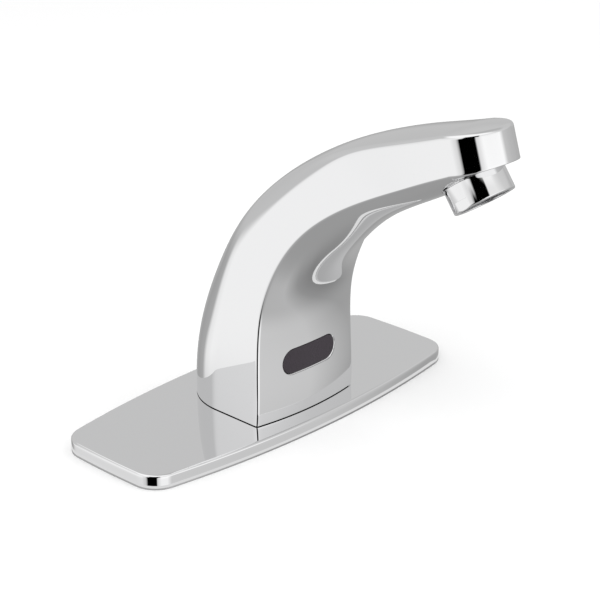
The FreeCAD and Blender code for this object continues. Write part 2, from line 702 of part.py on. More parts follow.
def coil_spring(label, radius, wire, pitch, height):
    """A helical spring of square wire in short straight steps, standing on its own origin."""
    rise = value("(%s) - 2 * (%s)" % (height, wire))
    steps = round(rise / value(pitch) * SPRING_STEPS)
    spots = []
    for step in range(steps + 1):
        turn = 2 * math.pi * step / SPRING_STEPS
        spots.append(Vector(value(radius) * math.cos(turn), value(radius) * math.sin(turn),
                            value(wire) + rise * step / steps))
    half = value(wire)
    corners = [spots[0] + Vector(x * half, 0, z * half) for x, z in ((-1, -1), (1, -1), (1, 1), (-1, 1), (-1, -1))]
    path = Part.makePolygon(spots)
    spring = doc.addObject("Part::Feature", label)
    spring.Shape = path.makePipeShell([Part.makePolygon(corners)], True, False, 1)
    spring.Label = label
    return spring


def build_inlet_parts():
    """Strainer and non-return valve in the foot's upright tube."""
    bore = "tower_bore - slip"
    start = "foot_lift + inlet_depth"
    strainer = turned("inlet_filter", [
        ("filter_radius - filter_wall", "0"),
        (bore, "0"),
        (bore, "filter_rim"),
        ("filter_radius", "filter_rim"),
        ("filter_radius", "filter_height"),
        ("0", "filter_height"),
        ("0", "filter_height - filter_wall"),
        ("filter_radius - filter_wall", "filter_height - filter_wall"),
    ])
    slot = new_sketch(strainer, "XZ_Plane")
    draw_outline(slot, box("-filter_wall", "filter_wall", "filter_rim * 1.6", "filter_height - filter_wall * 1.6"))
    repeat_round(strainer, pocket(strainer, slot, "filter_radius + 1"), 8)
    place(strainer, "0", "inlet_y", start)

    seat = ring("check_seat", "seat_bore", bore, "seat_height")
    place(seat, "0", "inlet_y", "seat_z")
    rest = "seat_z + seat_height"
    poppet = turned("check_poppet", [
        ("0", "0"),
        ("poppet_radius", "0"),
        ("poppet_radius", "poppet_thickness"),
        ("poppet_stem", "poppet_thickness"),
        ("poppet_stem", "poppet_height"),
        ("0", "poppet_height"),
    ])
    place(poppet, "0", "inlet_y", rest)
    guide = ring("check_guide", "poppet_stem + slip", bore, "guide_height")
    holes = draw_circle(new_sketch(guide), "guide_hole", "guide_ring", "0")
    repeat_round(guide, pocket(guide, holes, "guide_height", True), 6)
    place(guide, "0", "inlet_y", "guide_z")
    gap = "guide_z - (%s) - poppet_thickness" % rest
    spring = coil_spring("check_spring", "check_spring_radius", "check_spring_wire", "check_spring_pitch", gap)
    place(spring, "0", "inlet_y", rest + " + poppet_thickness")
    return [strainer, seat, poppet, guide, spring]


def rounded_block(body, z, height):
    """A block the size of the valve, with rounded upright corners."""
    half = "valve_width / 2"
    sides = box("-" + half, half, "valve_y - valve_depth / 2", "valve_y + valve_depth / 2")
    pad(body, draw_outline(new_sketch(body, z=z), sides), height)
    return dress_edges(body, "Fillet", upright, "bonnet_corner")


def valve_circle(body, z, radius):
    return draw_circle(new_sketch(body, z=z), radius, "0", "valve_y")


def build_valve_parts():
    """The solenoid valve: block, servo piston and bonnet."""
    top = "valve_z + valve_height"
    block = new_body("valve_body")
    rounded_block(block, "valve_z", "valve_height")
    pad(block, draw_circle(new_sketch(block, z="valve_z"), "plug_boss", "0", "inlet_y"), "plug_boss_height")
    plug = draw_circle(new_sketch(block, z="valve_z - plug_length"), "tower_bore - slip", "0", "inlet_y")
    pad(block, plug, "plug_length")
    socket = draw_circle(new_sketch(block, z="valve_z"), "pipe_radius + pipe_socket_wall", "0", "pipe_y")
    pad(block, socket, "valve_height")
    chamber = valve_circle(block, top, "annulus_outer")
    draw_circle(chamber, "annulus_inner", "0", "valve_y")
    pocket(block, chamber, "annulus_depth")
    pocket(block, valve_circle(block, top, "annulus_inner + 0.5"), "valve_seat_drop")
    bottom = "cross_port_z - cross_port / 2"
    pocket(block, valve_circle(block, top, "valve_seat_bore"), "%s - (%s)" % (top, bottom))
    groove = new_sketch(block, z="valve_z - plug_length / 2 - ring_wire - slip")
    draw_circle(groove, "tower_bore", "0", "inlet_y")
    draw_circle(groove, "tower_bore - 2 * (slip + ring_wire)", "0", "inlet_y")
    pocket(block, groove, "2 * (ring_wire + slip)", True)
    inlet = draw_circle(new_sketch(block, z="valve_z - plug_length"), "valve_port", "0", "inlet_y")
    pocket(block, inlet, "plug_length + plug_boss_height - 1", True)
    across = draw_circle(new_sketch(block, "XZ_Plane", z="-valve_y"), "cross_port", "0", "cross_port_z")
    pocket(block, across, "valve_y - pipe_y", True)
    pocket(block, draw_circle(new_sketch(block, z=bottom), "pipe_bore", "0", "pipe_y"), "pipe_start", True)
    pocket(block, draw_circle(new_sketch(block, z="pipe_start - 0.1"), "pipe_radius + slip", "0", "pipe_y"), "pipe_start", True)
    holes = new_sketch(block, z=top)
    for side in ("-", ""):
        draw_circle(holes, "valve_screw_radius", side + "valve_screw_x", "valve_y")
    pocket(block, holes, "valve_screw_bite")

    lift = "%s - valve_seat_drop" % top
    rubber = ring("piston_seal", "pilot_radius", "piston_seal_radius", "piston_seal_thickness")
    place(rubber, "0", "valve_y", lift)
    piston = turned("valve_piston", [
        ("pilot_radius", "0"),
        ("bonnet_chamber - slip", "0"),
        ("bonnet_chamber - slip", "piston_height"),
        ("pilot_boss", "piston_height"),
        ("pilot_boss", "piston_height + pilot_boss_height"),
        ("pilot_radius", "piston_height + pilot_boss_height"),
    ])
    place(piston, "0", "valve_y", lift + " + piston_seal_thickness")

    bonnet = new_body("valve_bonnet")
    rounded_block(bonnet, top, "bonnet_height")
    pad(bonnet, valve_circle(bonnet, top, "tube_outer"), "bonnet_height + tube_height")
    pocket(bonnet, valve_circle(bonnet, top, "bonnet_chamber"), "bonnet_chamber_height", True)
    pocket(bonnet, valve_circle(bonnet, top, "tube_bore"), "tube_bore_top - (%s)" % top, True)
    holes = new_sketch(bonnet, z=top)
    for side in ("-", ""):
        draw_circle(holes, "valve_screw_radius + slip", side + "valve_screw_x", "valve_y")
    pocket(bonnet, holes, "bonnet_height", True)
    return [block, rubber, piston, bonnet, build_screws(
        "valve_screws", "XY_Plane", "valve_screw_x", "valve_y", "%s + bonnet_height" % top,
        "valve_screw_radius", "valve_screw_head", "bonnet_height + valve_screw_bite - 0.5")]


def build_screws(label, role, x, y, seat, radius, head, reach, along=False):
    """Two like screws side by side. along says that the shanks point along their plane's normal."""
    body = new_body(label)
    body.AllowCompound = True
    shanks = new_sketch(body, role, z=seat)
    heads = new_sketch(body, role, z=seat)
    for side in ("-", ""):
        draw_circle(shanks, radius, side + x, y)
        draw_circle(heads, head, side + x, y)
    pad(body, shanks, reach, not along)
    pad(body, heads, "screw_head_height", along)
    return body


def build_coil_parts():
    """The solenoid above the bonnet: plunger and its spring, bobbin, winding, yoke and nut."""
    base = "valve_z + valve_height + bonnet_height"
    nozzle = ("valve_z + valve_height - valve_seat_drop + piston_seal_thickness + piston_height"
              " + pilot_boss_height")
    plunger = turned("solenoid_plunger", [
        ("0", "0"),
        ("tube_bore - slip", "0"),
        ("tube_bore - slip", "plunger_length"),
        ("plunger_recess", "plunger_length"),
        ("plunger_recess", "plunger_length - plunger_recess_depth"),
        ("0", "plunger_length - plunger_recess_depth"),
    ])
    place(plunger, "0", "valve_y", nozzle)
    start = "%s + plunger_length - plunger_recess_depth" % nozzle
    spring = coil_spring("plunger_spring", "plunger_spring_radius", "plunger_spring_wire",
                         "plunger_spring_pitch", "tube_bore_top - (%s)" % start)
    place(spring, "0", "valve_y", start)
    bobbin = turned("coil_bobbin", [
        ("tube_outer + slip", "0"),
        ("coil_radius", "0"),
        ("coil_radius", "coil_flange"),
        ("coil_hub", "coil_flange"),
        ("coil_hub", "coil_height - coil_flange"),
        ("coil_radius", "coil_height - coil_flange"),
        ("coil_radius", "coil_height"),
        ("tube_outer + slip", "coil_height"),
    ])
    place(bobbin, "0", "valve_y", "%s + yoke_thickness" % base)
    winding = ring("coil_winding", "coil_hub", "winding_radius", "coil_height - 2 * coil_flange")
    place(winding, "0", "valve_y", "%s + yoke_thickness + coil_flange" % base)
    yoke = new_body("coil_yoke")
    inner = "coil_radius + loose"
    frame = new_sketch(yoke, "XZ_Plane", z="-yoke_width / 2 - valve_y")
    outer = "%s + yoke_thickness" % inner
    draw_outline(frame, box("-(%s)" % outer, outer, base, "%s + coil_height + 2 * yoke_thickness" % base))
    pad(yoke, frame, "yoke_width")
    window = new_sketch(yoke, "XZ_Plane", z="-yoke_width / 2 - valve_y")
    top = "%s + yoke_thickness + coil_height" % base
    draw_outline(window, box("-(%s)" % inner, inner, "%s + yoke_thickness" % base, top))
    pocket(yoke, window, "yoke_width", True)
    pocket(yoke, valve_circle(yoke, base, "tube_outer + slip"), "coil_height + 2 * yoke_thickness", True)
    nut = new_body("coil_nut")
    pad(nut, draw_outline(new_sketch(nut), hexagon_points("nut_radius")), "nut_height")
    pocket(nut, draw_circle(new_sketch(nut), "tube_outer + slip"), "nut_height", True)
    place(nut, "0", "valve_y", "%s + yoke_thickness" % top)
    return [plunger, spring, bobbin, winding, yoke, nut]


def build_pipe():
    """The outlet tube: an upright run, a bend, a slanting run, a slight bend and the run to the nose."""
    spots = [Vector(value(y), value(z), 0) for y, z in (
        ("pipe_y", "pipe_start"), ("pipe_y", "pipe_bend_z"), ("pipe_knee_y", "pipe_knee_z"), (PIPE_END_Y, PIPE_END_Z))]
    radius = value("pipe_bend_radius")
    body = new_body("outlet_tube")
    path = new_sketch(body, "YZ_Plane")
    last = spots[0]
    for before, corner, after in zip(spots, spots[1:], spots[2:]):
        to_start = (before - corner).normalize()
        to_end = (after - corner).normalize()
        half = to_start.getAngle(to_end) / 2
        reach = radius / math.tan(half)
        start, end = corner + to_start * reach, corner + to_end * reach
        centre = corner + (to_start + to_end).normalize() * (radius / math.sin(half))
        middle = centre + (corner - centre).normalize() * radius
        path.addGeometry(Part.LineSegment(last, start))
        path.addGeometry(Part.Arc(start, middle, end))
        last = end
    path.addGeometry(Part.LineSegment(last, spots[-1]))
    for index in range(path.GeometryCount):
        path.addConstraint(Sketcher.Constraint("Block", index))
    for kind, size in (("AdditivePipe", "pipe_radius"), ("SubtractivePipe", "pipe_bore")):
        feature = body.newObject("PartDesign::" + kind, kind.lower())
        feature.Profile = draw_circle(new_sketch(body, "XY_Plane", z="pipe_start"), size, "0", "pipe_y")
        feature.Spine = (path, [])
        doc.recompute()
    return body


def build_aerator_parts():
    """The screwed aerator: shell with spanner flats, screen, flow insert and washer."""
    shell = turned("aerator_shell", [
        ("lip_radius", "0"),
        ("shell_radius", "0"),
        ("shell_radius", "shell_height"),
        ("thread_radius", "shell_height"),
        ("thread_radius", "shell_height + thread_reach"),
        ("insert_radius + slip", "shell_height + thread_reach"),
        ("insert_radius + slip", "lip_height"),
        ("lip_radius", "lip_height"),
    ])
    rim = value("shell_radius")
    round_rim = lambda e: e.Curve.TypeId == "Part::GeomCircle" and abs(e.Curve.Radius - rim) < 1e-4
    dress_edges(shell, "Chamfer", round_rim, "shell_edge")
    flats = new_sketch(shell)
    for sign in ("-", ""):
        near, far = sign + "flat_across / 2", sign + "(shell_radius + 1)"
        low, high = (far, near) if sign else (near, far)
        draw_rectangle(flats, box(low, high, "-shell_radius", "shell_radius"))
    pocket(shell, flats, "flat_height", True)

    screen = new_body("aerator_screen")
    wire = "screen_wire / 2"
    bars = new_sketch(screen)
    draw_outline(bars, box("-insert_radius + %s" % wire, "insert_radius - %s" % wire, "-" + wire, wire))
    bar = pad(screen, bars, "screen_thickness")
    repeat_round(screen, bar, 8)
    rings = new_sketch(screen)
    draw_circle(rings, "insert_radius")
    draw_circle(rings, "insert_radius - screen_wire * 1.6")
    steps = int((value("insert_radius") - value("screen_wire")) / value("screen_pitch"))
    for step in range(1, steps):
        draw_circle(rings, "screen_pitch * %d + %s" % (step, wire))
        draw_circle(rings, "screen_pitch * %d - %s" % (step, wire))
    pad(screen, rings, "screen_thickness")

    insert = turned("aerator_cartridge", [
        ("0", "0"),
        ("insert_radius", "0"),
        ("insert_radius", "cartridge_height"),
        ("insert_radius - cartridge_wall", "cartridge_height"),
        ("insert_radius - cartridge_wall", "cartridge_plate"),
        ("0", "cartridge_plate"),
    ])
    hole = draw_circle(new_sketch(insert), "cartridge_hole", "cartridge_ring", "0")
    repeat_round(insert, pocket(insert, hole, "cartridge_plate", True), 12)
    washer = ring("aerator_washer", "washer_bore", "thread_radius - slip", "washer_thickness - slip")
    heights = {shell: "0", screen: "lip_height + slip", insert: "lip_height + slip + screen_thickness",
               washer: "shell_height + thread_reach + slip"}
    for body, height in heights.items():
        y, z = on_axis(height)
        place(body, "0", y, z, "outlet_tilt")
    return [shell, screen, insert, washer]


def draw_rectangle(sketch, corners):
    """A further rectangle in a sketch that may hold others."""
    first = sketch.GeometryCount
    spots = [Vector(value(x), value(y), 0) for x, y in corners]
    for i in range(4):
        sketch.addGeometry(Part.LineSegment(spots[i], spots[(i + 1) % 4]))
        pin_point(sketch, first + i, 1, *corners[i])
        pin_point(sketch, first + i, 2, *corners[(i + 1) % 4])
    return sketch


def build_eye_parts():
    """The sensor behind the window: lens, gasket, housing, board and its two infrared parts."""
    lens = new_body("sensor_lens")
    seat = "lens_seat_y + lens_gasket_thickness"
    front = "window_face_y"
    plug = window_sketch(lens, seat, "window_width", "window_height")
    pad(lens, plug, "%s - (%s) + 1" % (seat, front))
    rim = window_sketch(lens, seat, "window_width + 2 * lens_rim", "window_height + 2 * lens_rim")
    pad(lens, rim, "lens_rim_thickness", True)
    half = "window_width / 2"
    edge = "%s + window_bow" % front
    shave = [("-" + half + " - 0.5", front + " - 2"), (half + " + 0.5", front + " - 2"),
             (half + " + 0.5", edge), ("-" + half + " - 0.5", edge)]
    trim = draw_outline(new_sketch(lens, z="window_z - window_height"), shave, {2: "-window_bow"})
    pocket(lens, trim, "window_height * 2", True)

    gasket = new_body("lens_gasket")
    pad(gasket, window_sketch(gasket, "lens_seat_y", "window_width + 2 * lens_rim", "window_height + 2 * lens_rim"),
        "lens_gasket_thickness", True)
    pocket(gasket, window_sketch(gasket, "lens_seat_y", "window_width + 2 * trim_gap", "window_height + 2 * trim_gap"),
           "lens_gasket_thickness")

    housing = new_body("sensor_housing")
    mouth = "%s + lens_rim_thickness" % seat
    tall = ("window_z - eye_height / 2", "window_z + eye_height / 2")
    half = EYE_WIDTH + " / 2"
    pad(housing, draw_outline(new_sketch(housing, "XZ_Plane", z="-(%s)" % mouth), box("-" + half, half, *tall)), "eye_depth", True)
    for side in ("-", ""):
        ears = draw_circle(new_sketch(housing, "XZ_Plane", z="-lens_seat_y"), "eye_ear_radius", side + EYE_SCREW_X, "window_z")
        pad(housing, ears, "eye_ear_thickness", True)
        arm = box(EYE_WIDTH + " / 2 - 1", EYE_SCREW_X, "window_z - eye_ear_radius", "window_z + eye_ear_radius")
        if side:
            arm = box("-" + EYE_SCREW_X, "1 - %s / 2" % EYE_WIDTH, "window_z - eye_ear_radius", "window_z + eye_ear_radius")
        bridge = draw_outline(new_sketch(housing, "XZ_Plane", z="-(%s)" % mouth), arm)
        pad(housing, bridge, "lens_seat_y + eye_ear_thickness - (%s)" % mouth, True)
    half = EYE_WIDTH + " / 2 - eye_wall"
    inner = ("window_z - eye_height / 2 + eye_wall", "window_z + eye_height / 2 - eye_wall")
    cavity = draw_outline(new_sketch(housing, "XZ_Plane", z="-(%s)" % mouth), box("-(%s)" % half, half, *inner))
    pocket(housing, cavity, "eye_depth - eye_wall")
    holes = new_sketch(housing, "XZ_Plane", z="-lens_seat_y")
    for side in ("-", ""):
        draw_circle(holes, "eye_screw_radius + slip", side + EYE_SCREW_X, "window_z")
    pocket(housing, holes, "eye_ear_thickness")

    board = new_body("sensor_board")
    face = "%s + board_depth" % mouth
    half = EYE_WIDTH + " / 2 - eye_wall - loose"
    inner = ("window_z - eye_height / 2 + eye_wall + loose", "window_z + eye_height / 2 - eye_wall - loose")
    pad(board, draw_outline(new_sketch(board, "XZ_Plane", z="-(%s)" % face), box("-(%s)" % half, half, *inner)), "board_thickness", True)
    parts = [lens, gasket, housing, board]
    for label, side in (("emitter", ""), ("receiver", "-")):
        diode = new_body(label)
        pad(diode, draw_circle(new_sketch(diode, "XZ_Plane"), "diode_radius"), "diode_length")
        parts.append(place(diode, side + "diode_x", face, "window_z"))
    screws = build_screws("sensor_screws", "XZ_Plane", EYE_SCREW_X, "window_z",
                          "-(lens_seat_y + eye_ear_thickness)", "eye_screw_radius", "eye_screw_head",
                          "eye_ear_thickness + eye_screw_bite - 0.4", True)
    return parts + [screws]


def build_seal():
    """The square-cut ring in the groove of the valve's plug."""
    seal = ring("inlet_seal", "tower_bore - slip - 2 * ring_wire", "tower_bore - slip", "2 * ring_wire")
    return place(seal, "0", "inlet_y", "valve_z - plug_length / 2 - ring_wire")


def check_and_export(bodies):
    """Stop at the first unsound piece, then write one file for each."""
    doc.recompute()
    broken = [o.Name for o in doc.Objects if "Invalid" in o.State or "Error" in o.State]
    if broken:
        raise RuntimeError("unsound objects: " + ", ".join(broken))
    for body in bodies:
        if body.Shape.isNull() or not body.Shape.isValid():
            raise RuntimeError("unsound shape: " + body.Label)
    os.makedirs("parts", exist_ok=True)
    for body in bodies:
        body.Shape.exportStep("parts/%s.step" % body.Label)
        print(body.Label, round(body.Shape.Volume, 1), len(body.Shape.Solids))


pieces = [build_body_shell()]
pieces += build_plate_parts()
pieces += build_foot_parts()
pieces += build_inlet_parts()
pieces += build_valve_parts()
pieces += build_coil_parts()
pieces += [build_pipe(), build_seal()]
pieces += build_aerator_parts()
pieces += build_eye_parts()
check_and_export(pieces)
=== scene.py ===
"""Studio scene of a deck-mounted sensor tap: chrome casting, deck plate, dark eye and screwed outlet."""

import json
import logging
import math
from dataclasses import dataclass, field
from enum import Enum
from typing import Callable, Iterable, Sequence

import bmesh
import bpy
import numpy as np
from mathutils import Matrix, Vector


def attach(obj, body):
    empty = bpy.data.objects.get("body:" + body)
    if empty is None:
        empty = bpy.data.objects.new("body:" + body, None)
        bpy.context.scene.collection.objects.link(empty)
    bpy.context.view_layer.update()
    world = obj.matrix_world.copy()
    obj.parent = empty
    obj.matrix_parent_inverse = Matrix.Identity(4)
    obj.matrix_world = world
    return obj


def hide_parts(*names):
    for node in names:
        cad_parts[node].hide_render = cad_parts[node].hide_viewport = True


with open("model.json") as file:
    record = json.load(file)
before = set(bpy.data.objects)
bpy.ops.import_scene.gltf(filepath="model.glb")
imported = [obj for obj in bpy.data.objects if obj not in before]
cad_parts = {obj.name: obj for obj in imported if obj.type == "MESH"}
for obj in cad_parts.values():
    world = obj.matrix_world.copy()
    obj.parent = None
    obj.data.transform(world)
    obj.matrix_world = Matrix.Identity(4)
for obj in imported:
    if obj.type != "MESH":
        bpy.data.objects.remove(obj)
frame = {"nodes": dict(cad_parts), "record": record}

LOG = logging.getLogger("sensor_tap")
# A millimetre in metres.
MM = 0.001

# A turned piece's radius from (radius, height, angle).
RadiusRule = Callable[[float, float, float], float]
# Bearings in degrees, each with how bright the studio is there.
Ring = tuple[tuple[float, float], ...]


# ---------------------------------------------------------------- nodes


def feed(links: bpy.types.NodeLinks, socket: bpy.types.NodeSocket, value: object) -> None:
    """Gives an input a value or another node's output.

    Args:
        links: the tree's links.
        socket: the input.
        value: a value, or the output that is linked.
    """
    if isinstance(value, bpy.types.NodeSocket):
        links.new(value, socket)
    else:
        socket.default_value = value


def maths(tree: bpy.types.NodeTree, operation: str, *values: object) -> bpy.types.NodeSocket:
    """Adds a Math node.

    Args:
        tree: the tree that takes it.
        operation: what it works out.
        values: its inputs, each a value or another node's output.

    Returns:
        The node's result.
    """
    made = tree.nodes.new("ShaderNodeMath")
    made.operation = operation
    for socket, value in zip(made.inputs, values):
        feed(tree.links, socket, value)
    return made.outputs[0]


def blend(tree: bpy.types.NodeTree, share: bpy.types.NodeSocket, first: object,
          second: object) -> bpy.types.NodeSocket:
    """Mixes two colours.

    Args:
        tree: the tree that takes the node.
        share: how much of the second colour shows.
        first: a colour or another node's output.
        second: a colour or another node's output.

    Returns:
        The mixed colour.
    """
    made = tree.nodes.new("ShaderNodeMix")
    made.data_type = "RGBA"
    for title, value in (("Factor", share), ("A", first), ("B", second)):
        feed(tree.links, made.inputs[title], value)
    return made.outputs["Result"]


# ---------------------------------------------------------------- finishes

COAT_ROUGHNESS = 0.04
POLISHED_RELIEF = 0.02 * MM
OTHER_RELIEF = 0.1 * MM
# Grains across one of a finish's larger patches.
PATCH_GRAINS = 12
# Scale of the noise along a drawn metal's grain, against 1 across it.
DRAWN_SCALE = 0.06


class Surface(Enum):
    """How a finish breaks up light below the size of its shape."""

    POLISHED = "polished"
    DRAWN = "drawn"
    MOULDED = "moulded"
    SOFT = "soft"


@dataclass(frozen=True)
class Finish:
    """One material of the tap, made of shader nodes that read Object coordinates."""

    name: str
    colour: tuple[float, float, float]
    metallic: float = 0.0
    roughness: tuple[float, float] = (0.3, 0.4)
    surface: Surface = Surface.MOULDED
    grain: float = 400.0
    relief: float = 0.05
    shade: float = 0.08
    coat: float = 0.0

    def material(self) -> bpy.types.Material:
        """Builds the material, or gives the one already built.

        Returns:
            The node material of this finish.
        """
        made = bpy.data.materials.get(self.name)
        if made:
            return made
        made = bpy.data.materials.new(self.name)
        made.use_nodes = True
        made.diffuse_color = (*self.colour, 1.0)
        tree = made.node_tree
        shader = tree.nodes["Principled BSDF"]
        plain = {"Metallic": self.metallic, "Coat Weight": self.coat, "Coat Roughness": COAT_ROUGHNESS}
        for title, value in plain.items():
            shader.inputs[title].default_value = value
        place = tree.nodes.new("ShaderNodeTexCoord")
        spread = tree.nodes.new("ShaderNodeMapping")
        along = DRAWN_SCALE if self.surface is Surface.DRAWN else 1.0
        spread.inputs["Scale"].default_value = (1.0, 1.0, along)
        tree.links.new(place.outputs["Object"], spread.inputs["Vector"])
        grains = self.noise(tree, spread, self.grain, 3.0)
        patches = self.noise(tree, spread, self.grain / PATCH_GRAINS, 2.0)
        darker = [c * (1 - self.shade) for c in self.colour]
        tint = blend(tree, patches, (*darker, 1.0), (*self.colour, 1.0))
        tree.links.new(tint, shader.inputs["Base Color"])
        tree.links.new(self.gloss(tree, patches), shader.inputs["Roughness"])
        bump = tree.nodes.new("ShaderNodeBump")
        bump.inputs["Strength"].default_value = self.relief
        polished = self.surface is Surface.POLISHED
        bump.inputs["Distance"].default_value = POLISHED_RELIEF if polished else OTHER_RELIEF
        tree.links.new(grains, bump.inputs["Height"])
        tree.links.new(bump.outputs["Normal"], shader.inputs["Normal"])
        return made

    def noise(self, tree: bpy.types.NodeTree, spread: bpy.types.Node, scale: float,
              detail: float) -> bpy.types.NodeSocket:
        """Adds a noise texture.

        Args:
            tree: the material's tree.
            spread: the mapping that the texture reads, which makes the grain of drawn metal long.
            scale: cells to a metre.
            detail: octaves.

        Returns:
            The noise, from 0 to 1.
        """
        noise = tree.nodes.new("ShaderNodeTexNoise")
        noise.inputs["Scale"].default_value = scale
        noise.inputs["Detail"].default_value = detail
        tree.links.new(spread.outputs["Vector"], noise.inputs["Vector"])
        return noise.outputs["Fac"]

    def gloss(self, tree: bpy.types.NodeTree, patches: bpy.types.NodeSocket) -> bpy.types.NodeSocket:
        """Varies the roughness between its two ends.

        Args:
            tree: the material's tree.
            patches: the noise that varies it.

        Returns:
            The roughness.
        """
        ramp = tree.nodes.new("ShaderNodeMapRange")
        ends = {"From Min": 0.3, "From Max": 0.7, "To Min": self.roughness[0], "To Max": self.roughness[1]}
        for title, value in ends.items():
            ramp.inputs[title].default_value = value
        tree.links.new(patches, ramp.inputs["Value"])
        return ramp.outputs["Result"]


CHROME = Finish("polished_chrome", (0.862, 0.863, 0.868), 1.0, (0.018, 0.04), Surface.POLISHED, 90.0, 0.02,
                0.01)
SATIN_STEEL = Finish("satin_steel", (0.56, 0.56, 0.55), 1.0, (0.22, 0.36), Surface.DRAWN, 900.0, 0.12)
MESH_STEEL = Finish("mesh_steel", (0.42, 0.42, 0.43), 1.0, (0.25, 0.4), Surface.DRAWN, 1500.0, 0.1)
BRASS = Finish("cast_brass", (0.78, 0.6, 0.3), 1.0, (0.28, 0.45), Surface.MOULDED, 700.0, 0.3, 0.15)
COPPER = Finish("enamelled_copper", (0.72, 0.31, 0.14), 1.0, (0.2, 0.32), Surface.DRAWN, 1200.0, 0.2, 0.15)
RUBBER = Finish("black_rubber", (0.022, 0.022, 0.024), 0.0, (0.55, 0.75), Surface.SOFT, 900.0, 0.25, 0.25)
WHITE_PLASTIC = Finish("white_acetal", (0.78, 0.78, 0.75), 0.0, (0.3, 0.42), Surface.MOULDED, 600.0, 0.08)
GREY_PLASTIC = Finish("grey_nylon", (0.27, 0.28, 0.29), 0.0, (0.38, 0.52), Surface.MOULDED, 800.0, 0.18)
BLACK_PLASTIC = Finish("black_nylon", (0.025, 0.025, 0.028), 0.0, (0.36, 0.5), Surface.MOULDED, 800.0, 0.18)
DARK_LENS = Finish("infrared_window", (0.026, 0.018, 0.026), 0.0, (0.08, 0.14), Surface.POLISHED, 200.0,
                   0.02, 0.1)
CLEAR_LENS = Finish("water_clear_epoxy", (0.5, 0.52, 0.56), 0.0, (0.05, 0.1), Surface.POLISHED, 300.0, 0.02)
BOARD = Finish("green_board", (0.02, 0.13, 0.07), 0.0, (0.3, 0.45), Surface.MOULDED, 1500.0, 0.1, 0.2, 0.3)

SLOT_FINISHES: dict[str, Finish] = {
    "chrome": CHROME,
    "steel": SATIN_STEEL,
    "steel_mesh": MESH_STEEL,
    "rubber": RUBBER,
    "brass": BRASS,
    "copper": COPPER,
    "white_plastic": WHITE_PLASTIC,
    "grey_plastic": GREY_PLASTIC,
    "black_plastic": BLACK_PLASTIC,
    "dark_lens": DARK_LENS,
    "clear_lens": CLEAR_LENS,
    "board": BOARD,
}


# ---------------------------------------------------------------- mesh helpers


def add(name: str, data: bpy.types.ID) -> bpy.types.Object:
    """Adds an object to the scene.

    Args:
        name: the object's name.
        data: its mesh, lamp or camera.

    Returns:
        The object, at the origin.
    """
    made = bpy.data.objects.new(name, data)
    bpy.context.scene.collection.objects.link(made)
    return made


def mesh_piece(name: str, points: np.ndarray, faces: Sequence[Sequence[int]], finish: Finish,
               crease: float = 32.0) -> bpy.types.Object:
    """Makes a smooth-shaded mesh object whose place is in its vertices.

    Args:
        name: the piece's name.
        points: an N by 3 array in metres.
        faces: vertex numbers of each face.
        finish: the finish of the whole piece.
        crease: angle in degrees above which an edge is drawn sharp.

    Returns:
        The object, linked to the scene.
    """
    data = bpy.data.meshes.new(name)
    data.from_pydata([tuple(p) for p in points], [], faces)
    piece = add(name, data)
    data.materials.append(finish.material())
    tidy_mesh(piece, crease)
    return piece


def tidy_mesh(piece: bpy.types.Object, crease: float = 32.0, merge: float = 2e-6) -> None:
    """Merges doubles, turns faces outwards and marks sharp edges.

    Args:
        piece: the mesh object.
        crease: angle in degrees above which an edge is sharp.
        merge: distance in metres under which points become one.
    """
    work = bmesh.new()
    work.from_mesh(piece.data)
    bmesh.ops.remove_doubles(work, verts=work.verts, dist=merge)
    bmesh.ops.dissolve_degenerate(work, edges=work.edges, dist=merge / 4)
    bmesh.ops.recalc_face_normals(work, faces=work.faces)
    limit = math.radians(crease)
    for face in work.faces:
        face.smooth = True
    for edge in work.edges:
        edge.smooth = edge.calc_face_angle(math.pi) < limit
    work.to_mesh(piece.data)
    work.free()


def bands(count: int, rings: Sequence[int]) -> list[list[int]]:
    """Joins rings of points with quads, each ring to the next.

    Args:
        count: points in a ring.
        rings: the rings' numbers, in the order that they are joined.

    Returns:
        The faces.
    """
    return [[low * count + i, low * count + (i + 1) % count, high * count + (i + 1) % count, high * count + i]
            for low, high in zip(rings, rings[1:]) for i in range(count)]


def lathe(profile: Sequence[tuple[float, float]], steps: int = 128,
          radius_at: RadiusRule | None = None) -> tuple[np.ndarray, list[list[int]]]:
    """Turns a closed profile of (radius, height) pairs into a ring of quads.

    Args:
        profile: the closed outline, in the unit that the caller wants back.
        steps: segments round the axis.
        radius_at: changes the radius from place to place, as for spanner flats.

    Returns:
        Points and faces.
    """
    points = []
    for step in range(steps):
        angle = 2 * math.pi * step / steps
        for radius, height in profile:
            reach = radius_at(radius, height, angle) if radius_at else radius
            points.append((reach * math.cos(angle), reach * math.sin(angle), height))
    return np.array(points), bands(len(profile), [*range(steps), 0])


def round_corners(corners: Sequence[tuple[float, float, float]], steps: int = 6) -> list[tuple[float, float]]:
    """Rounds the corners of a closed outline.

    Args:
        corners: (x, y, radius) of each corner, in order.
        steps: segments of each rounding.

    Returns:
        The outline's points.
    """
    outline = []
    count = len(corners)
    for i, (x, y, radius) in enumerate(corners):
        if radius <= 0:
            outline.append((x, y))
            continue
        here = Vector((x, y))
        before = (Vector(corners[i - 1][:2]) - here).normalized()
        after = (Vector(corners[(i + 1) % count][:2]) - here).normalized()
        half = before.angle(after) / 2
        reach = radius / math.tan(half)
        centre = here + (before + after).normalized() * (radius / math.sin(half))
        start, end = here + before * reach - centre, here + after * reach - centre
        sweep = math.atan2(start.x * end.y - start.y * end.x, start.dot(end))
        base = math.atan2(start.y, start.x)
        for step in range(steps + 1):
            angle = base + sweep * step / steps
            outline.append((centre.x + radius * math.cos(angle), centre.y + radius * math.sin(angle)))
    return outline


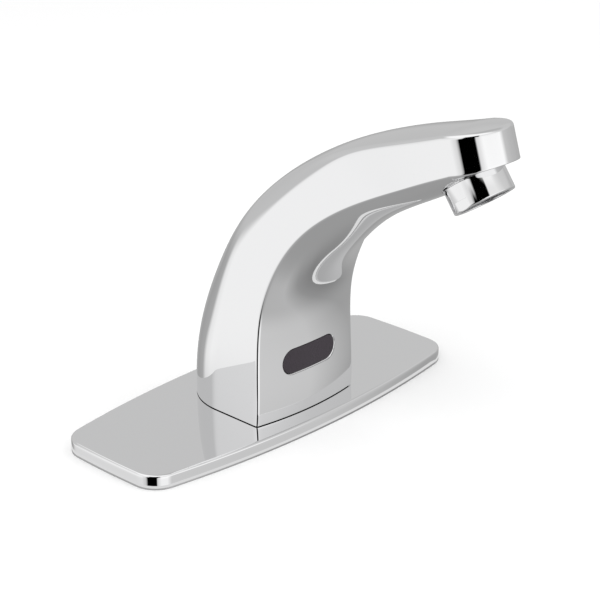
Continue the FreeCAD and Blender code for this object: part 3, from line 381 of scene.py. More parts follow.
def bake(piece: bpy.types.Object) -> None:
    """Replaces a piece's mesh by what its modifiers make of it.

    Args:
        piece: the object, which keeps no modifiers.
    """
    graph = bpy.context.evaluated_depsgraph_get()
    data = bpy.data.meshes.new_from_object(piece.evaluated_get(graph))
    piece.modifiers.clear()
    piece.data = data


def carve(piece: bpy.types.Object, cutter: bpy.types.Object) -> None:
    """Cuts one closed mesh out of another and removes the cutter.

    Args:
        piece: the mesh that is cut.
        cutter: the closed mesh taken away.
    """
    cut = piece.modifiers.new("cut", "BOOLEAN")
    cut.operation = "DIFFERENCE"
    cut.solver = "EXACT"
    cut.object = cutter
    bake(piece)
    bpy.data.objects.remove(cutter)


def join(piece: bpy.types.Object, others: Iterable[bpy.types.Object]) -> None:
    """Adds other meshes to a piece and removes their objects.

    Args:
        piece: the mesh object that grows.
        others: mesh objects of the same finish.
    """
    work = bmesh.new()
    work.from_mesh(piece.data)
    for other in others:
        work.from_mesh(other.data)
        bpy.data.objects.remove(other)
    work.to_mesh(piece.data)
    work.free()


def mount(piece: bpy.types.Object, body: str, slot: str, *nodes: str) -> None:
    """Lets a finished piece ride on its CAD body and stand for its nodes.

    Args:
        piece: the finished mesh.
        body: the CAD body's name.
        slot: the record's material slot; not used.
        nodes: CAD nodes that the piece stands for.
    """
    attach(piece, body)
    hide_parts(*nodes)
    LOG.info("%s: %d faces on %s", piece.name, len(piece.data.polygons), body)


# ---------------------------------------------------------------- the casting


@dataclass(frozen=True)
class Station:
    """A section of the casting, in millimetres, in the plane through its front and back points."""

    front_y: float
    front_z: float
    back_y: float
    back_z: float
    half: float
    shoulder: float
    crown: float
    bow: float

    def row(self) -> list[float]:
        """The fields as a list, in their order."""
        return [getattr(self, name) for name in self.__dataclass_fields__]


def clamped_spline(stops: np.ndarray, values: np.ndarray, wanted: np.ndarray) -> np.ndarray:
    """A cubic spline whose end slopes come from a cubic through the four nearest points.

    Args:
        stops: increasing parameters.
        values: one value to each stop.
        wanted: parameters where the spline is read.

    Returns:
        The spline's values.
    """
    count = len(stops)
    gaps, rises = np.diff(stops), np.diff(values) / np.diff(stops)
    first = np.polyder(np.polyfit(stops[:4] - stops[0], values[:4], 3))
    last = np.polyder(np.polyfit(stops[-4:] - stops[-1], values[-4:], 3))
    system, right = np.zeros((count, count)), np.zeros(count)
    system[0, 0] = system[-1, -1] = 1
    right[0], right[-1] = np.polyval(first, 0), np.polyval(last, 0)
    for i in range(1, count - 1):
        system[i, i - 1:i + 2] = gaps[i], 2 * (gaps[i - 1] + gaps[i]), gaps[i - 1]
        right[i] = 3 * (gaps[i] * rises[i - 1] + gaps[i - 1] * rises[i])
    slopes = np.linalg.solve(system, right)
    spans = np.clip(np.searchsorted(stops, wanted) - 1, 0, count - 2)
    t = (wanted - stops[spans]) / gaps[spans]
    a, b = values[spans], values[spans + 1]
    ma, mb = slopes[spans] * gaps[spans], slopes[spans + 1] * gaps[spans]
    return (a * (2 * t**3 - 3 * t**2 + 1) + ma * (t**3 - 2 * t**2 + t)
            + b * (-2 * t**3 + 3 * t**2) + mb * (t**3 - t**2))


@dataclass
class Casting:
    """The arched chrome body, from its half-round foot to its round tip, in millimetres and degrees.

    Its skin lies just inside the CAD's. The cut is the tip's flat underside, the joint is the fine groove
    over the plate, and the tip's fall is how far the crown drops at its foremost point.
    """

    stations: tuple[Station, ...] = (
        Station(-24.4, 5.7, 25.5, 5.7, 25.9, 25.2, 26.3, 130.0),
        Station(-24.4, 25.2, 23.5, 30.4, 25.5, 23.3, 25.9, 135.0),
        Station(-25.3, 46.2, 16.5, 51.8, 24.7, 17.6, 25.6, 106.0),
        Station(-30.9, 60.0, 4.8, 73.3, 24.1, 13.0, 30.1, 63.0),
        Station(-44.1, 75.8, -16.4, 96.7, 23.2, 10.0, 46.4, 37.0),
        Station(-63.4, 92.3, -41.1, 113.5, 21.4, 6.0, 70.0, 33.0),
        Station(-85.8, 105.0, -64.5, 123.1, 18.9, 2.2, 95.0, 28.0),
        Station(-100.3, 113.54, -94.5, 131.95, 14.5, 1.6, 100.0, 25.0),
    )
    corner: float = 1.3
    along: int = 170
    around_tip: int = 60
    crown_steps: int = 24
    shoulder_steps: int = 26
    side_steps: int = 16
    corner_steps: int = 8
    bow_steps: int = 22
    skin: float = 0.02
    cut_y: float = -99.3
    cut_z: float = 116.6
    cut_tilt: float = 25.0
    cut_edge: float = 0.7
    joint_height: float = 0.32
    joint_depth: float = 1.2
    tip_fall: float = 1.5

    def sections(self) -> list[Station]:
        """Evenly spaced sections on smooth curves through the key stations."""
        keys = np.array([s.row() for s in self.stations])
        halfway = (keys[-2] + keys[-1]) / 2
        keys = np.vstack([keys[:-1], halfway, keys[-1]])
        middles = (keys[:, 0:2] + keys[:, 2:4]) / 2
        stops = np.concatenate([[0], np.cumsum(np.linalg.norm(np.diff(middles, axis=0), axis=1))])
        wanted = np.linspace(0, stops[-1], self.along)
        columns = [clamped_spline(stops, keys[:, i], wanted) for i in range(keys.shape[1])]
        return [Station(*row) for row in np.array(columns).T]

    def half_outline(self, station: Station) -> np.ndarray:
        """Half of a section from the crown round the side to the front, as (out, up) pairs.

        Args:
            station: the section.

        Returns:
            The outline's points in the section's own plane, in millimetres.
        """
        half, corner = station.half - self.skin, self.corner
        shoulder = max(station.shoulder, corner / 2)
        crown = max(station.crown, half + 0.1)
        bow = station.bow
        low = self.skin
        high = math.hypot(station.back_z - station.front_z, station.back_y - station.front_y) - self.skin
        lift = high - crown + math.sqrt((crown - shoulder) ** 2 - (half - shoulder) ** 2)
        heel = low + bow - math.sqrt((bow - corner) ** 2 - (half - corner) ** 2)
        lean = math.asin((half - shoulder) / (crown - shoulder))
        dip = math.asin((half - corner) / (bow - corner))
        points = []
        for t in np.linspace(0, lean, self.crown_steps, endpoint=False):
            points.append((crown * math.sin(t), high - crown + crown * math.cos(t)))
        for t in np.linspace(lean, math.pi / 2, self.shoulder_steps, endpoint=False):
            points.append((half - shoulder + shoulder * math.sin(t), lift + shoulder * math.cos(t)))
        for t in np.linspace(0, 1, self.side_steps, endpoint=False):
            points.append((half, lift * (1 - t) + heel * t))
        for t in np.linspace(math.pi / 2, math.pi - dip, self.corner_steps, endpoint=False):
            points.append((half - corner + corner * math.sin(t), heel + corner * math.cos(t)))
        for t in np.linspace(dip, 0, self.bow_steps + 1):
            points.append((bow * math.sin(t), low + bow - bow * math.cos(t)))
        return np.array(points)

    def column(self, station: Station, turn: float) -> np.ndarray:
        """A half section in the CAD frame, turned about the section's own middle line.

        Args:
            station: the section.
            turn: degrees from the -X side towards the tip; 180 is the +X side.

        Returns:
            Points in millimetres, crown first.
        """
        outline = self.half_outline(station)
        share = (outline[:, 0] / station.half) ** 2 * (outline[:, 1] / outline[:, 1].max()) ** 3
        outline[:, 1] -= self.tip_fall * math.sin(math.radians(turn)) * share
        rise = np.array([0, station.back_y - station.front_y, station.back_z - station.front_z])
        rise /= np.linalg.norm(rise)
        ahead = np.array([0, -rise[2], rise[1]])
        out = np.array([-1.0, 0, 0]) * math.cos(math.radians(turn)) + ahead * math.sin(math.radians(turn))
        base = np.array([0, station.front_y, station.front_z])
        points = base + outline[:, :1] * out + outline[:, 1:] * rise
        return self.flatten_under(points, rise)

    def flatten_under(self, points: np.ndarray, rise: np.ndarray) -> np.ndarray:
        """Moves what lies below the tip's flat underside up onto it, with a small round edge.

        Args:
            points: one column of points, crown first.
            rise: the direction of the section's middle line.

        Returns:
            The column, with the same number of points.
        """
        tilt = math.radians(self.cut_tilt)
        normal = np.array([0, math.sin(tilt), math.cos(tilt)])
        foot = np.array([0, self.cut_y, self.cut_z])
        ahead = (points - foot) @ np.array([0, -math.cos(tilt), math.sin(tilt)])
        depth = (points - foot) @ normal
        if ahead.max() < 0 or depth.min() >= 0:
            return points
        edge = self.cut_edge
        lifted = np.where(depth > edge, depth, np.where(depth < -edge, 0, (depth + edge) ** 2 / (4 * edge)))
        lifted = np.where(ahead > 0, lifted, depth)
        return points + np.outer((lifted - depth) / (normal @ rise), rise)

    def footing(self, lowest: Station, turn: float) -> list[np.ndarray]:
        """The narrow joint between the casting and the plate, from inside to outside.

        Args:
            lowest: the casting's lowest section.
            turn: 0 for the -X side and 180 for the +X side.

        Returns:
            Three columns: the joint's foot, its roof's inner edge and the casting's lower edge.
        """
        edge = self.column(lowest, turn)
        edge[:, 2] += self.joint_height
        centre = np.array([0, (lowest.front_y + lowest.back_y) / 2, 0])
        roof = edge.copy()
        roof[:, :2] += (centre - edge)[:, :2] * self.joint_depth / lowest.half
        foot = roof - np.array([0, 0, self.joint_height])
        return [foot, roof, edge]

    def build(self) -> bpy.types.Object:
        """Builds the closed outer skin, before its window and outlet are cut.

        Returns:
            The body mesh.
        """
        sections = self.sections()
        columns = self.footing(sections[0], 0) + [self.column(s, 0) for s in sections[1:]]
        columns += [self.column(sections[-1], t) for t in np.linspace(0, 180, self.around_tip + 1)[1:-1]]
        columns += [self.column(s, 180) for s in reversed(sections[1:])]
        columns += reversed(self.footing(sections[0], 180))
        rows = len(columns[0])
        points = np.concatenate(columns) * MM
        faces = []
        for c in range(len(columns) - 1):
            for r in range(rows - 1):
                a = c * rows + r
                faces.append([a, a + rows, a + rows + 1, a + 1])
        last = (len(columns) - 1) * rows
        faces.append([*range(rows), *(last + r for r in reversed(range(1, rows - 1)))])
        return mesh_piece("tap_body", points, faces, CHROME)


@dataclass
class Outlet:
    """The screwed outlet under the tip, in millimetres and degrees: collar and bore, ring and mesh."""

    y: float = -102.9
    z: float = 107.0
    tilt: float = 36.0
    ring_height: float = 9.0
    ring_radius: float = 11.0
    thread_radius: float = 10.0
    bore_radius: float = 10.05
    spot_radius: float = 11.4
    collar_radius: float = 11.2
    collar_step: float = 0.15
    gap: float = 0.4
    thread_reach: float = 5.0
    lip_radius: float = 9.0
    lip_height: float = 0.9
    insert_radius: float = 9.2
    flat_across: float = 21.3
    flat_height: float = 3.4
    slip: float = 0.05
    bore_slack: float = 0.3
    chamber_depth: float = 1.9
    cutter_reach: float = 4.0
    axis_radius: float = 0.01
    mesh_pitch: float = 0.9
    mesh_wire: float = 0.16
    mesh_margin: float = 0.2
    mesh_spokes: int = 24
    collar_edges: tuple[float, float] = (0.15, 0.25)

    def matrix(self) -> Matrix:
        """From the outlet's own axis, foot at its origin, to the CAD frame in metres."""
        turn = Matrix.Rotation(math.radians(-self.tilt), 4, "X")
        return Matrix.Translation((0, self.y * MM, self.z * MM)) @ turn @ Matrix.Scale(MM, 4)

    def turned(self, name: str, corners: Sequence[tuple[float, float, float]], finish: Finish,
               steps: int = 160, radius_at: RadiusRule | None = None) -> bpy.types.Object:
        """Turns a rounded outline about the outlet's axis.

        Args:
            name: the piece's name.
            corners: (radius, height, rounding) in millimetres.
            finish: its finish.
            steps: segments round the axis.
            radius_at: as in lathe.

        Returns:
            The mesh object.
        """
        points, faces = lathe(round_corners(corners), steps, radius_at)
        placed = np.array([self.matrix() @ Vector(p) for p in points])
        return mesh_piece(name, placed, faces, finish)

    def cutter(self) -> bpy.types.Object:
        """The bore, chamber and spot face, as one closed shape."""
        top = self.ring_height + self.thread_reach + self.chamber_depth
        face = self.ring_height + self.gap + self.collar_step
        bore = self.bore_radius + self.bore_slack
        corners = [(self.axis_radius, -self.cutter_reach, 0), (self.spot_radius, -self.cutter_reach, 0),
                   (self.spot_radius, face, 0), (bore, face, 0), (bore, top, 0), (self.axis_radius, top, 0)]
        return self.turned("outlet_cutter", corners, CHROME, 96)

    def collar(self) -> bpy.types.Object:
        """The collar that the ring screws up to."""
        face = self.ring_height + self.gap
        top = face + self.thread_reach
        inner, outer = self.collar_edges
        corners = [(self.bore_radius, face, inner), (self.collar_radius, face, outer),
                   (self.collar_radius, top, 0), (self.bore_radius, top, 0)]
        return self.turned("outlet_collar", corners, CHROME)

    def ring(self) -> bpy.types.Object:
        """The screwed ring with its two spanner flats."""
        def flats(radius: float, height: float, angle: float) -> float:
            """Radius where a spanner flat may cut the ring."""
            if radius < self.thread_radius or height > self.flat_height:
                return radius
            return min(radius, self.flat_across / 2 / max(abs(math.cos(angle)), 1e-6))

        top = self.ring_height + self.thread_reach
        inside = self.insert_radius + self.slip
        corners = [(self.lip_radius, 0, 0.25), (self.ring_radius, 0, 0.6),
                   (self.ring_radius, self.flat_height, 0), (self.ring_radius, self.flat_height + 0.02, 0),
                   (self.ring_radius, self.ring_height, 0.4), (self.thread_radius, self.ring_height, 0.05),
                   (self.thread_radius, top, 0.3), (inside, top, 0.2),
                   (inside, self.lip_height, 0.05), (self.lip_radius, self.lip_height, 0.2)]
        return self.turned("outlet_ring", corners, CHROME, 192, flats)


# ---------------------------------------------------------------- deck plate and eye


@dataclass
class DeckPlate:
    """The oblong plate under the body, bowed along all four sides, in millimetres."""

    length: float = 158.8
    depth: float = 63.8
    end_depth: float = 48.0
    end_bow: float = 0.78
    corner: float = 10.2
    height: float = 5.7
    edge: float = 1.0
    foot_edge: float = 0.25
    wall: float = 3.0
    top_wall: float = 2.4
    hole: float = 18.4
    arc_steps: int = 56

    def rim(self) -> list[tuple[Vector, float, float]]:
        """The outline as points on arcs, each a centre, a radius and an angle."""
        sag = (self.depth - self.end_depth) / 2
        long_radius = ((self.length / 2) ** 2 + sag**2) / (2 * sag)
        end_radius = ((self.end_depth / 2) ** 2 + self.end_bow**2) / (2 * self.end_bow)
        front = Vector((0, long_radius - self.depth / 2))
        right = Vector((self.length / 2 + self.end_bow - end_radius, 0))
        near, far = end_radius - self.corner, long_radius - self.corner
        apart = (front - right).length
        share = (near**2 - far**2 + apart**2) / (2 * apart)
        lift = math.sqrt(near**2 - share**2)
        along = (front - right).normalized()
        across = Vector((along.y, -along.x))
        centre = right + along * share + across * lift
        if centre.y > 0:
            centre = right + along * share - across * lift
        turns = [math.atan2(*(centre - place).yx) for place in (front, right)]
        steps = self.arc_steps
        quarter = [(front, long_radius, a) for a in np.linspace(-math.pi / 2, turns[0], steps, False)]
        quarter += [(centre, self.corner, a) for a in np.linspace(turns[0], turns[1], steps // 2, False)]
        quarter += [(right, end_radius, a) for a in np.linspace(turns[1], 0, steps // 3)]
        half = quarter + [(Vector((c.x, -c.y)), r, -a) for c, r, a in reversed(quarter[:-1])]
        return half + [(Vector((-c.x, c.y)), r, math.pi - a) for c, r, a in reversed(half[1:-1])]

    def ring(self, inset: float, z: float) -> list[tuple[float, float, float]]:
        """The outline's points, moved in by inset, at height z."""
        arcs = [(centre, radius - inset, angle) for centre, radius, angle in self.rim()]
        return [(c.x + r * math.cos(a), c.y + r * math.sin(a), z) for c, r, a in arcs]

    def build(self) -> bpy.types.Object:
        """Builds the plate as a pressing with a rolled top edge and a hollow underside.

        Returns:
            The plate's mesh.
        """
        recess = self.height - self.top_wall
        levels = [(self.wall, recess), (self.wall, 0.0), (self.foot_edge, 0.0), (0.0, self.foot_edge)]
        levels += [(0.0, (self.height - self.edge) * t) for t in (0.4, 0.8, 1.0)]
        levels += [(self.edge * (1 - math.cos(t)), self.height - self.edge * (1 - math.sin(t)))
                   for t in np.linspace(0, math.pi / 2, 10)[1:]]
        levels += [(self.edge + 0.3, self.height), (self.edge + 4, self.height)]
        points = [spot for inset, z in levels for spot in self.ring(inset, z)]
        for z in (self.height, recess):
            points += [(*(Vector(spot[:2]).normalized() * self.hole), z) for spot in self.ring(0, z)]
        faces = bands(len(self.rim()), [*range(len(levels) + 2), 0])
        plate = mesh_piece("deck_plate", np.array(points) * MM, faces, CHROME, 50.0)
        self.true_normals(plate)
        return plate

    def true_normals(self, plate: bpy.types.Object) -> None:
        """Gives the flat top exact upright normals, so that it mirrors without ripples.

        Args:
            plate: the plate's mesh.
        """
        flat = (self.height - 0.001) * MM
        normals = [Vector(loop.vector) for loop in plate.data.corner_normals]
        for polygon in plate.data.polygons:
            if polygon.normal.z > 0.9:
                for loop in polygon.loop_indices:
                    if plate.data.vertices[plate.data.loops[loop].vertex_index].co.z > flat:
                        normals[loop] = Vector((0, 0, 1))
        plate.data.normals_split_custom_set(normals)


@dataclass
class Eye:
    """The dark infrared window in the front face, in millimetres."""

    width: float = 27.4
    height: float = 9.6
    middle_z: float = 27.4
    face_y: float = -24.24
    bow: float = 0.72
    seat_y: float = -18.7
    flange: float = 1.4
    flange_thickness: float = 1.2
    gap: float = 0.12
    flare: float = 0.3
    bevel: float = 0.3
    cutter_reach: float = 3.0

    def stadium(self, inset: float, steps: int = 28) -> list[tuple[float, float]]:
        """The window's outline moved in by inset, as (x, z) pairs about its middle."""
        radius = self.height / 2 - inset
        reach = (self.width - self.height) / 2
        outline = []
        for side in (1, -1):
            for t in np.linspace(-math.pi / 2, math.pi / 2, steps + 1):
                outline.append((side * (reach + radius * math.cos(t)), side * radius * math.sin(t)))
            outline += [(side * reach * (1 - 2 * s), side * radius) for s in np.linspace(0, 1, 26)[1:-1]]
        return outline

    def face(self, x: float) -> float:
        """How far back the window's bowed face lies at x."""
        radius = ((self.width / 2) ** 2 + self.bow**2) / (2 * self.bow)
        return self.face_y + radius - math.sqrt(radius**2 - x**2)

    def rings(self, levels: Sequence[tuple[float, float | None, float]], name: str,
              finish: Finish) -> bpy.types.Object:
        """Stacks stadium rings into a closed shape.

        Args:
            levels: (inset, fixed y or None to follow the face, depth behind the face) of each ring.
            name: the piece's name.
            finish: its finish.

        Returns:
            The mesh object.
        """
        points = [(x, self.face(x) + depth if fixed is None else fixed, self.middle_z + z)
                  for inset, fixed, depth in levels for x, z in self.stadium(inset)]
        count = len(points) // len(levels)
        faces = bands(count, range(len(levels)))
        faces.append(list(range(count)))
        if levels[-1][0] < self.height / 2 - 0.01:
            faces.append(list(range((len(levels) - 1) * count, len(levels) * count)))
        return mesh_piece(name, np.array(points) * MM, faces, finish, 40.0)

    def lens(self) -> bpy.types.Object:
        """The dark lens, flanged behind the wall and flush with the face."""
        edge = [(self.bevel * (1 - math.cos(t)), None, self.bevel * (1 - math.sin(t)))
                for t in np.linspace(0, math.pi / 2, 7)]
        levels = [(-self.flange, self.seat_y + self.flange_thickness, 0), (-self.flange, self.seat_y, 0),
                  (0, self.seat_y, 0)]
        levels += edge + [(inset, None, 0) for inset in (0.8, 1.6, 2.4, 3.2, 4.0, self.height / 2 - 0.002)]
        return self.rings(levels, "eye_window", DARK_LENS)

    def cutter(self) -> bpy.types.Object:
        """The opening in the casting, slightly flared at the face."""
        mouth = -self.gap - self.flare
        levels = [(-self.gap, self.seat_y + 0.2, 0), (-self.gap, None, self.flare), (mouth, None, 0),
                  (mouth, self.face_y - self.cutter_reach, 0)]
        return self.rings(levels, "eye_cutter", CHROME)


# ---------------------------------------------------------------- what repeats


class Socket(Enum):
    """Kinds of inputs of a geometry tree."""

    NUMBER = "NodeSocketFloat"
    COUNT = "NodeSocketInt"
    MATERIAL = "NodeSocketMaterial"


@dataclass
class GeometryTree:
    """A geometry node tree whose named inputs are the sizes of what it makes."""

    name: str
    inputs: dict[str, tuple[Socket, object]]
    tree: bpy.types.NodeTree = field(init=False)
    begin: bpy.types.Node = field(init=False)

    def __post_init__(self) -> None:
        """Makes the empty tree with its inputs and its output."""
        self.tree = bpy.data.node_groups.new(self.name, "GeometryNodeTree")
        self.tree.interface.new_socket("Geometry", in_out="OUTPUT", socket_type="NodeSocketGeometry")
        for title, (kind, _) in self.inputs.items():
            self.tree.interface.new_socket(title, in_out="INPUT", socket_type=kind.value)
        self.begin = self.tree.nodes.new("NodeGroupInput")

    def node(self, kind: str, **links: object) -> bpy.types.Node:
        """Adds a node; each keyword is an input's name with a value or another node's output.

        Args:
            kind: the node's type.
            links: inputs by name, with underscores for spaces.

        Returns:
            The node.
        """
        made = self.tree.nodes.new(kind)
        for title, value in links.items():
            feed(self.tree.links, made.inputs[title.replace("_", " ")], value)
        return made

    def size(self, title: str) -> bpy.types.NodeSocket:
        """The tree's own input of that name."""
        return self.begin.outputs[title]

    def finish_with(self, geometry: bpy.types.NodeSocket) -> None:
        """Ends the tree in Realize Instances and Set Material."""
        real = self.node("GeometryNodeRealizeInstances", Geometry=geometry)
        dressed = self.node("GeometryNodeSetMaterial", Geometry=real.outputs[0],
                            Material=self.size("Material"))
        end = self.tree.nodes.new("NodeGroupOutput")
        self.tree.links.new(dressed.outputs[0], end.inputs[0])

    def piece(self, name: str, place: Matrix) -> bpy.types.Object:
        """Runs the tree and keeps its result as a plain mesh.

        Args:
            name: the piece's name.
            place: from the tree's own space to the CAD frame.

        Returns:
            The mesh object, with its place in its vertices.
        """
        piece = add(name, bpy.data.meshes.new(name))
        modifier = piece.modifiers.new("shape", "NODES")
        modifier.node_group = self.tree
        for item in self.tree.interface.items_tree:
            if item.in_out == "INPUT":
                modifier[item.identifier] = self.inputs[item.name][1]
        bake(piece)
        piece.data.transform(place)
        tidy_mesh(piece, 40.0, 1e-7)
        return piece


def woven_screen(outlet: Outlet) -> bpy.types.Object:
    """The outlet's fine screen: round wires as rings and as spokes, made with geometry nodes.

    Args:
        outlet: the outlet that holds it.

    Returns:
        The screen's mesh.
    """
    tree = GeometryTree("screen_tree", {
        "Pitch": (Socket.NUMBER, outlet.mesh_pitch * MM),
        "Rings": (Socket.COUNT, int(outlet.insert_radius / outlet.mesh_pitch)),
        "Spokes": (Socket.COUNT, outlet.mesh_spokes),
        "Wire": (Socket.NUMBER, outlet.mesh_wire * MM),
        "Reach": (Socket.NUMBER, (outlet.insert_radius - outlet.mesh_margin) * MM),
        "Material": (Socket.MATERIAL, MESH_STEEL.material()),
    })
    profile = tree.node("GeometryNodeCurvePrimitiveCircle", Resolution=8, Radius=tree.size("Wire")).outputs[0]
    spots = tree.node("GeometryNodeMeshLine", Count=tree.size("Rings"))
    spots.inputs["Offset"].default_value = (0, 0, 0)
    unit = tree.node("GeometryNodeCurvePrimitiveCircle", Resolution=72, Radius=1.0)
    number = tree.node("GeometryNodeInputIndex").outputs[0]
    reach = maths(tree.tree, "MULTIPLY", maths(tree.tree, "ADD", number, 1.0), tree.size("Pitch"))
    stretch = tree.node("ShaderNodeCombineXYZ", X=reach, Y=reach, Z=1.0)
    rings = tree.node("GeometryNodeInstanceOnPoints", Points=spots.outputs[0], Instance=unit.outputs[0],
                      Scale=stretch.outputs[0])
    loose = tree.node("GeometryNodeRealizeInstances", Geometry=rings.outputs[0])
    hoops = tree.node("GeometryNodeCurveToMesh", Curve=loose.outputs[0], Profile_Curve=profile)
    end = tree.node("ShaderNodeCombineXYZ", X=tree.size("Reach"))
    start = tree.node("ShaderNodeCombineXYZ", X=tree.size("Pitch"))
    spoke = tree.node("GeometryNodeCurvePrimitiveLine", Start=start.outputs[0], End=end.outputs[0])
    rod = tree.node("GeometryNodeCurveToMesh", Curve=spoke.outputs[0], Profile_Curve=profile, Fill_Caps=True)
    places = tree.node("GeometryNodeMeshLine", Count=tree.size("Spokes"))
    places.inputs["Offset"].default_value = (0, 0, 0)
    angle = maths(tree.tree, "MULTIPLY", number, 2 * math.pi)
    turn = maths(tree.tree, "DIVIDE", angle, tree.size("Spokes"))
    rotation = tree.node("ShaderNodeCombineXYZ", Z=turn)
    rods = tree.node("GeometryNodeInstanceOnPoints", Points=places.outputs[0], Instance=rod.outputs[0],
                     Rotation=rotation.outputs[0])
    both = tree.tree.nodes.new("GeometryNodeJoinGeometry")
    tree.tree.links.new(hoops.outputs[0], both.inputs[0])
    tree.tree.links.new(rods.outputs[0], both.inputs[0])
    tree.finish_with(both.outputs[0])
    lift = Matrix.Translation((0, 0, outlet.lip_height + 2 * outlet.mesh_wire))
    return tree.piece("outlet_screen", outlet.matrix() @ lift @ Matrix.Scale(1 / MM, 4))


# ---------------------------------------------------------------- studio


@dataclass
class Studio:
    """White floor, soft light, the photograph's camera, and what the chrome mirrors.

    What it mirrors is a stack of rings, from the deepest to the roof, that fade into one another between
    the ring heights. A ring's bearings run from -X towards -Y, in degrees.
    """

    camera_place: tuple[float, float, float] = (-0.46517, -0.46287, 0.31870)
    camera_turn: float = -46.34
    camera_rise: float = 22.85
    focal_pixels: float = 1896.84
    picture: int = 600
    sensor: float = 36.0
    floor_colour: tuple[float, float, float] = (0.93, 0.93, 0.93)
    plain_light: float = 0.85
    floor_reach: float = 6.0
    card_gap: float = 0.4
    card_width: float = 2.6
    card_height: float = 0.05
    card_strength: float = 0.8
    straight_down: float = 0.36
    deep: Ring = (
        (-180, 0.24), (-150, 0.34), (-110, 0.4), (-60, 0.42), (60, 0.42), (110, 0.5), (136, 0.52),
        (158, 0.32), (180, 0.24),
    )
    low: Ring = (
        (-180, 0.4), (-160, 0.42), (-138, 0.42), (-122, 0.46), (-106, 0.36), (-84, 0.42), (-74, 0.7),
        (-60, 0.76), (-14, 0.84), (2, 0.66), (8, 0.3), (9.5, 0.0), (47, 0.0), (49, 0.7), (65, 1.0), (90, 1.0),
        (108, 0.66), (136, 0.62), (158, 0.38), (180, 0.4),
    )
    level: Ring = (
        (-180, 0.44), (-160, 0.45), (-138, 0.4), (-122, 0.46), (-106, 0.38), (-84, 0.44), (-74, 0.9),
        (-60, 1.0), (-14, 1.0), (2, 0.78), (8, 0.35), (9.5, 0.0), (47, 0.0), (49, 0.7), (65, 1.15),
        (90, 1.15), (108, 0.68), (136, 0.66), (158, 0.43), (180, 0.44),
    )
    above: Ring = (
        (-180, 0.55), (-136, 0.56), (-100, 0.57), (-74, 0.59), (-52, 0.6), (-44, 0.95), (-14, 1.0), (2, 0.78),
        (8, 0.35), (9.5, 0.0), (50, 0.0), (53, 0.8), (70, 1.12), (120, 1.12), (132, 0.62), (150, 0.55),
        (180, 0.5),
    )
    upper: Ring = (
        (-180, 0.62), (-136, 0.61), (-100, 0.62), (-56, 0.64), (-44, 0.88), (6, 1.0), (14, 0.7), (18, 0.0),
        (59, 0.0), (63, 0.9), (100, 0.9), (136, 0.69), (180, 0.62),
    )
    roof: Ring = (
        (-180, 0.5), (-120, 0.55), (-80, 1.1), (100, 1.1), (130, 0.65), (180, 0.5),
    )
    ring_heights: tuple[tuple[float, float], ...] = (
        (-1.0, -0.86), (-0.72, -0.47), (-0.47, -0.34), (-0.24, -0.06), (0.12, 0.34), (0.6, 0.76),
    )

    def build(self) -> None:
        """Makes the camera, the floor, the lamps and the world."""
        self.camera()
        self.floor()
        self.card()
        self.lamp("key", (-1.1, -0.6, 1.5), 1.2, 14.0)
        self.lamp("fill", (0.9, -1.2, 1.3), 1.4, 7.0)
        self.world()

    def camera(self) -> None:
        """Makes the camera and sets the view transform."""
        a, e = math.radians(self.camera_turn), math.radians(self.camera_rise)
        back = Vector((math.sin(a) * math.cos(e), -math.cos(a) * math.cos(e), math.sin(e)))
        right = Vector((math.cos(a), math.sin(a), 0))
        up = back.cross(right)
        data = bpy.data.cameras.new("camera")
        data.sensor_width = self.sensor
        data.lens = self.focal_pixels / self.picture * self.sensor
        data.clip_start, data.clip_end = 0.01, 50
        made = add("camera", data)
        turn = Matrix((right, up, back)).transposed().to_4x4()
        made.matrix_world = Matrix.Translation(self.camera_place) @ turn
        bpy.context.scene.camera = made
        bpy.context.scene.view_settings.view_transform = "Standard"

    def sheet(self, name: str, points: Sequence[Vector], faces: Sequence[Sequence[int]]) -> bpy.types.Object:
        """Lays a flat sheet that belongs to the studio, with a node material of its own.

        Args:
            name: the sheet's name.
            points: its points in metres.
            faces: vertex numbers of each face.

        Returns:
            The sheet, whose material is its first.
        """
        data = bpy.data.meshes.new(name)
        data.from_pydata(points, [], faces)
        made = add(name, data)
        finish = bpy.data.materials.new(f"studio_{name}")
        finish.use_nodes = True
        data.materials.append(finish)
        return made

    def floor(self) -> None:
        """Lays the pale floor, which chrome doesn't mirror."""
        reach = self.floor_reach
        corners = [(-reach, -reach, 0), (reach, -reach, 0), (reach, reach, 0), (-reach, reach, 0)]
        floor = self.sheet("floor", corners, [(0, 1, 2, 3)])
        shader = floor.data.materials[0].node_tree.nodes["Principled BSDF"]
        shader.inputs["Base Color"].default_value = (*self.floor_colour, 1.0)
        shader.inputs["Roughness"].default_value = 0.9
        shader.inputs["Specular IOR Level"].default_value = 0.0
        floor.visible_glossy = False

    def card(self) -> None:
        """Lays a white card round the plate, which only chrome sees, to whiten the plate's edge."""
        points = [Vector(spot) * MM for gap in (self.card_gap, self.card_width)
                  for spot in DeckPlate().ring(-gap, self.card_height)]
        card = self.sheet("plate_card", points, bands(len(points) // 2, range(2)))
        tree = card.data.materials[0].node_tree
        glow = tree.nodes.new("ShaderNodeEmission")
        glow.inputs["Strength"].default_value = self.card_strength
        tree.links.new(glow.outputs[0], tree.nodes["Material Output"].inputs["Surface"])
        card.visible_camera = card.visible_diffuse = card.visible_shadow = False

    def lamp(self, name: str, place: tuple[float, float, float], size: float, power: float) -> None:
        """Hangs a soft square lamp that faces the tap and doesn't show in the chrome.

        Args:
            name: the lamp's name.
            place: where it hangs, in metres.
            size: its side, in metres.
            power: watts.
        """
        data = bpy.data.lights.new(name, "AREA")
        data.size, data.energy = size, power
        lamp = add(name, data)
        aim = Vector((0, -0.03, 0.06)) - Vector(place)
        lamp.matrix_world = Matrix.Translation(place) @ aim.to_track_quat("-Z", "Y").to_matrix().to_4x4()
        lamp.visible_glossy = False

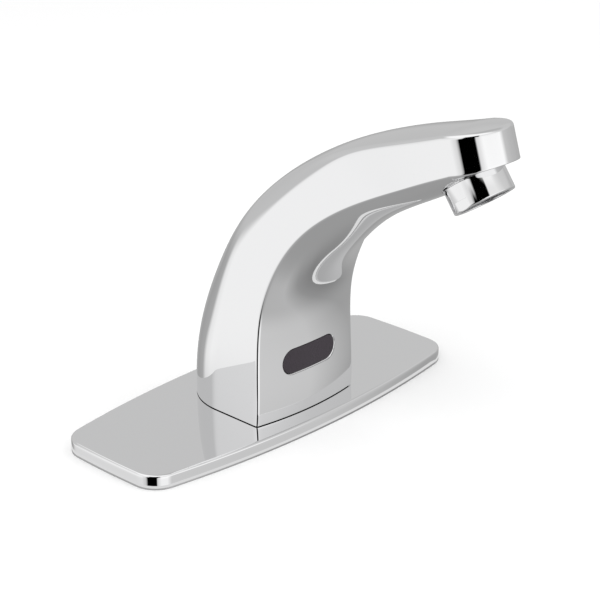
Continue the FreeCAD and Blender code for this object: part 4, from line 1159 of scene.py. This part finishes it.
    def world(self) -> None:
        """White background, plain light for matt surfaces, and the studio that chrome mirrors."""
        world = bpy.data.worlds.new("studio")
        bpy.context.scene.world = world
        world.use_nodes = True
        tree = world.node_tree
        rays = tree.nodes.new("ShaderNodeLightPath")
        plain = (*[self.plain_light] * 3, 1)
        lit = blend(tree, rays.outputs["Is Glossy Ray"], plain, self.mirrored(tree))
        shown = maths(tree, "MAXIMUM", rays.outputs["Is Camera Ray"], rays.outputs["Is Transmission Ray"])
        seen = blend(tree, shown, lit, (1, 1, 1, 1))
        tree.links.new(seen, tree.nodes["Background"].inputs["Color"])

    def mirrored(self, tree: bpy.types.NodeTree) -> bpy.types.NodeSocket:
        """Stacks the rings by the height that a mirrored ray points to.

        Args:
            tree: the world's tree.

        Returns:
            The colour that chrome mirrors.
        """
        place = tree.nodes.new("ShaderNodeTexCoord")
        apart = tree.nodes.new("ShaderNodeSeparateXYZ")
        tree.links.new(place.outputs["Generated"], apart.inputs[0])
        turn = maths(tree, "ARCTAN2", maths(tree, "MULTIPLY", apart.outputs["Y"], -1.0),
                     maths(tree, "MULTIPLY", apart.outputs["X"], -1.0))
        bearing = maths(tree, "ADD", maths(tree, "DIVIDE", turn, 2 * math.pi), 0.5)
        colour = (*[self.straight_down] * 3, 1)
        rings = (self.deep, self.low, self.level, self.above, self.upper, self.roof)
        for ring, (start, end) in zip(rings, self.ring_heights):
            ramp = tree.nodes.new("ShaderNodeValToRGB")
            tree.links.new(bearing, ramp.inputs["Fac"])
            self.fill_ramp(ramp.color_ramp, ring)
            height = tree.nodes.new("ShaderNodeMapRange")
            height.interpolation_type = "SMOOTHSTEP"
            height.inputs["From Min"].default_value = start
            height.inputs["From Max"].default_value = end
            tree.links.new(apart.outputs["Z"], height.inputs["Value"])
            colour = blend(tree, height.outputs["Result"], colour, ramp.outputs["Color"])
        return colour

    def fill_ramp(self, ramp: bpy.types.ColorRamp, ring: Ring) -> None:
        """Sets a colour ramp's stops to a ring's greys.

        Args:
            ramp: the ramp.
            ring: the bearings and their brightness.
        """
        stops = [((bearing + 180) / 360, value) for bearing, value in ring]
        while len(ramp.elements) > 1:
            ramp.elements.remove(ramp.elements[-1])
        ramp.elements[0].position = stops[0][0]
        ramp.elements[0].color = (*[stops[0][1]] * 3, 1)
        for place, value in stops[1:]:
            ramp.elements.new(place).color = (value, value, value, 1)


# ---------------------------------------------------------------- the whole


def dress_nodes() -> None:
    """Gives every CAD node the finish of its slot in the record."""
    for part in frame["record"]["subparts"]:
        finish = SLOT_FINISHES[part["material_slot"]]
        data = frame["nodes"][part["node"]].data
        data.materials.clear()
        data.materials.append(finish.material())
        LOG.info("%s: %s", part["node"], finish.name)


def main() -> None:
    """Builds the tap's pieces in order, then the studio."""
    logging.basicConfig(level=logging.INFO, format="%(message)s")
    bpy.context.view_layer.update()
    dress_nodes()
    outlet, eye = Outlet(), Eye()
    body = Casting().build()
    carve(body, outlet.cutter())
    carve(body, eye.cutter())
    join(body, [outlet.collar()])
    tidy_mesh(body, 30.0)
    mount(body, "tap", "chrome", "body_shell")
    mount(DeckPlate().build(), "tap", "chrome", "cover_plate")
    mount(eye.lens(), "tap", "dark_lens", "sensor_lens")
    mount(outlet.ring(), "aerator_ring", "chrome", "aerator_shell")
    mount(woven_screen(outlet), "aerator_insert", "steel_mesh", "aerator_screen")
    Studio().build()


if __name__ == "__main__":
    main()
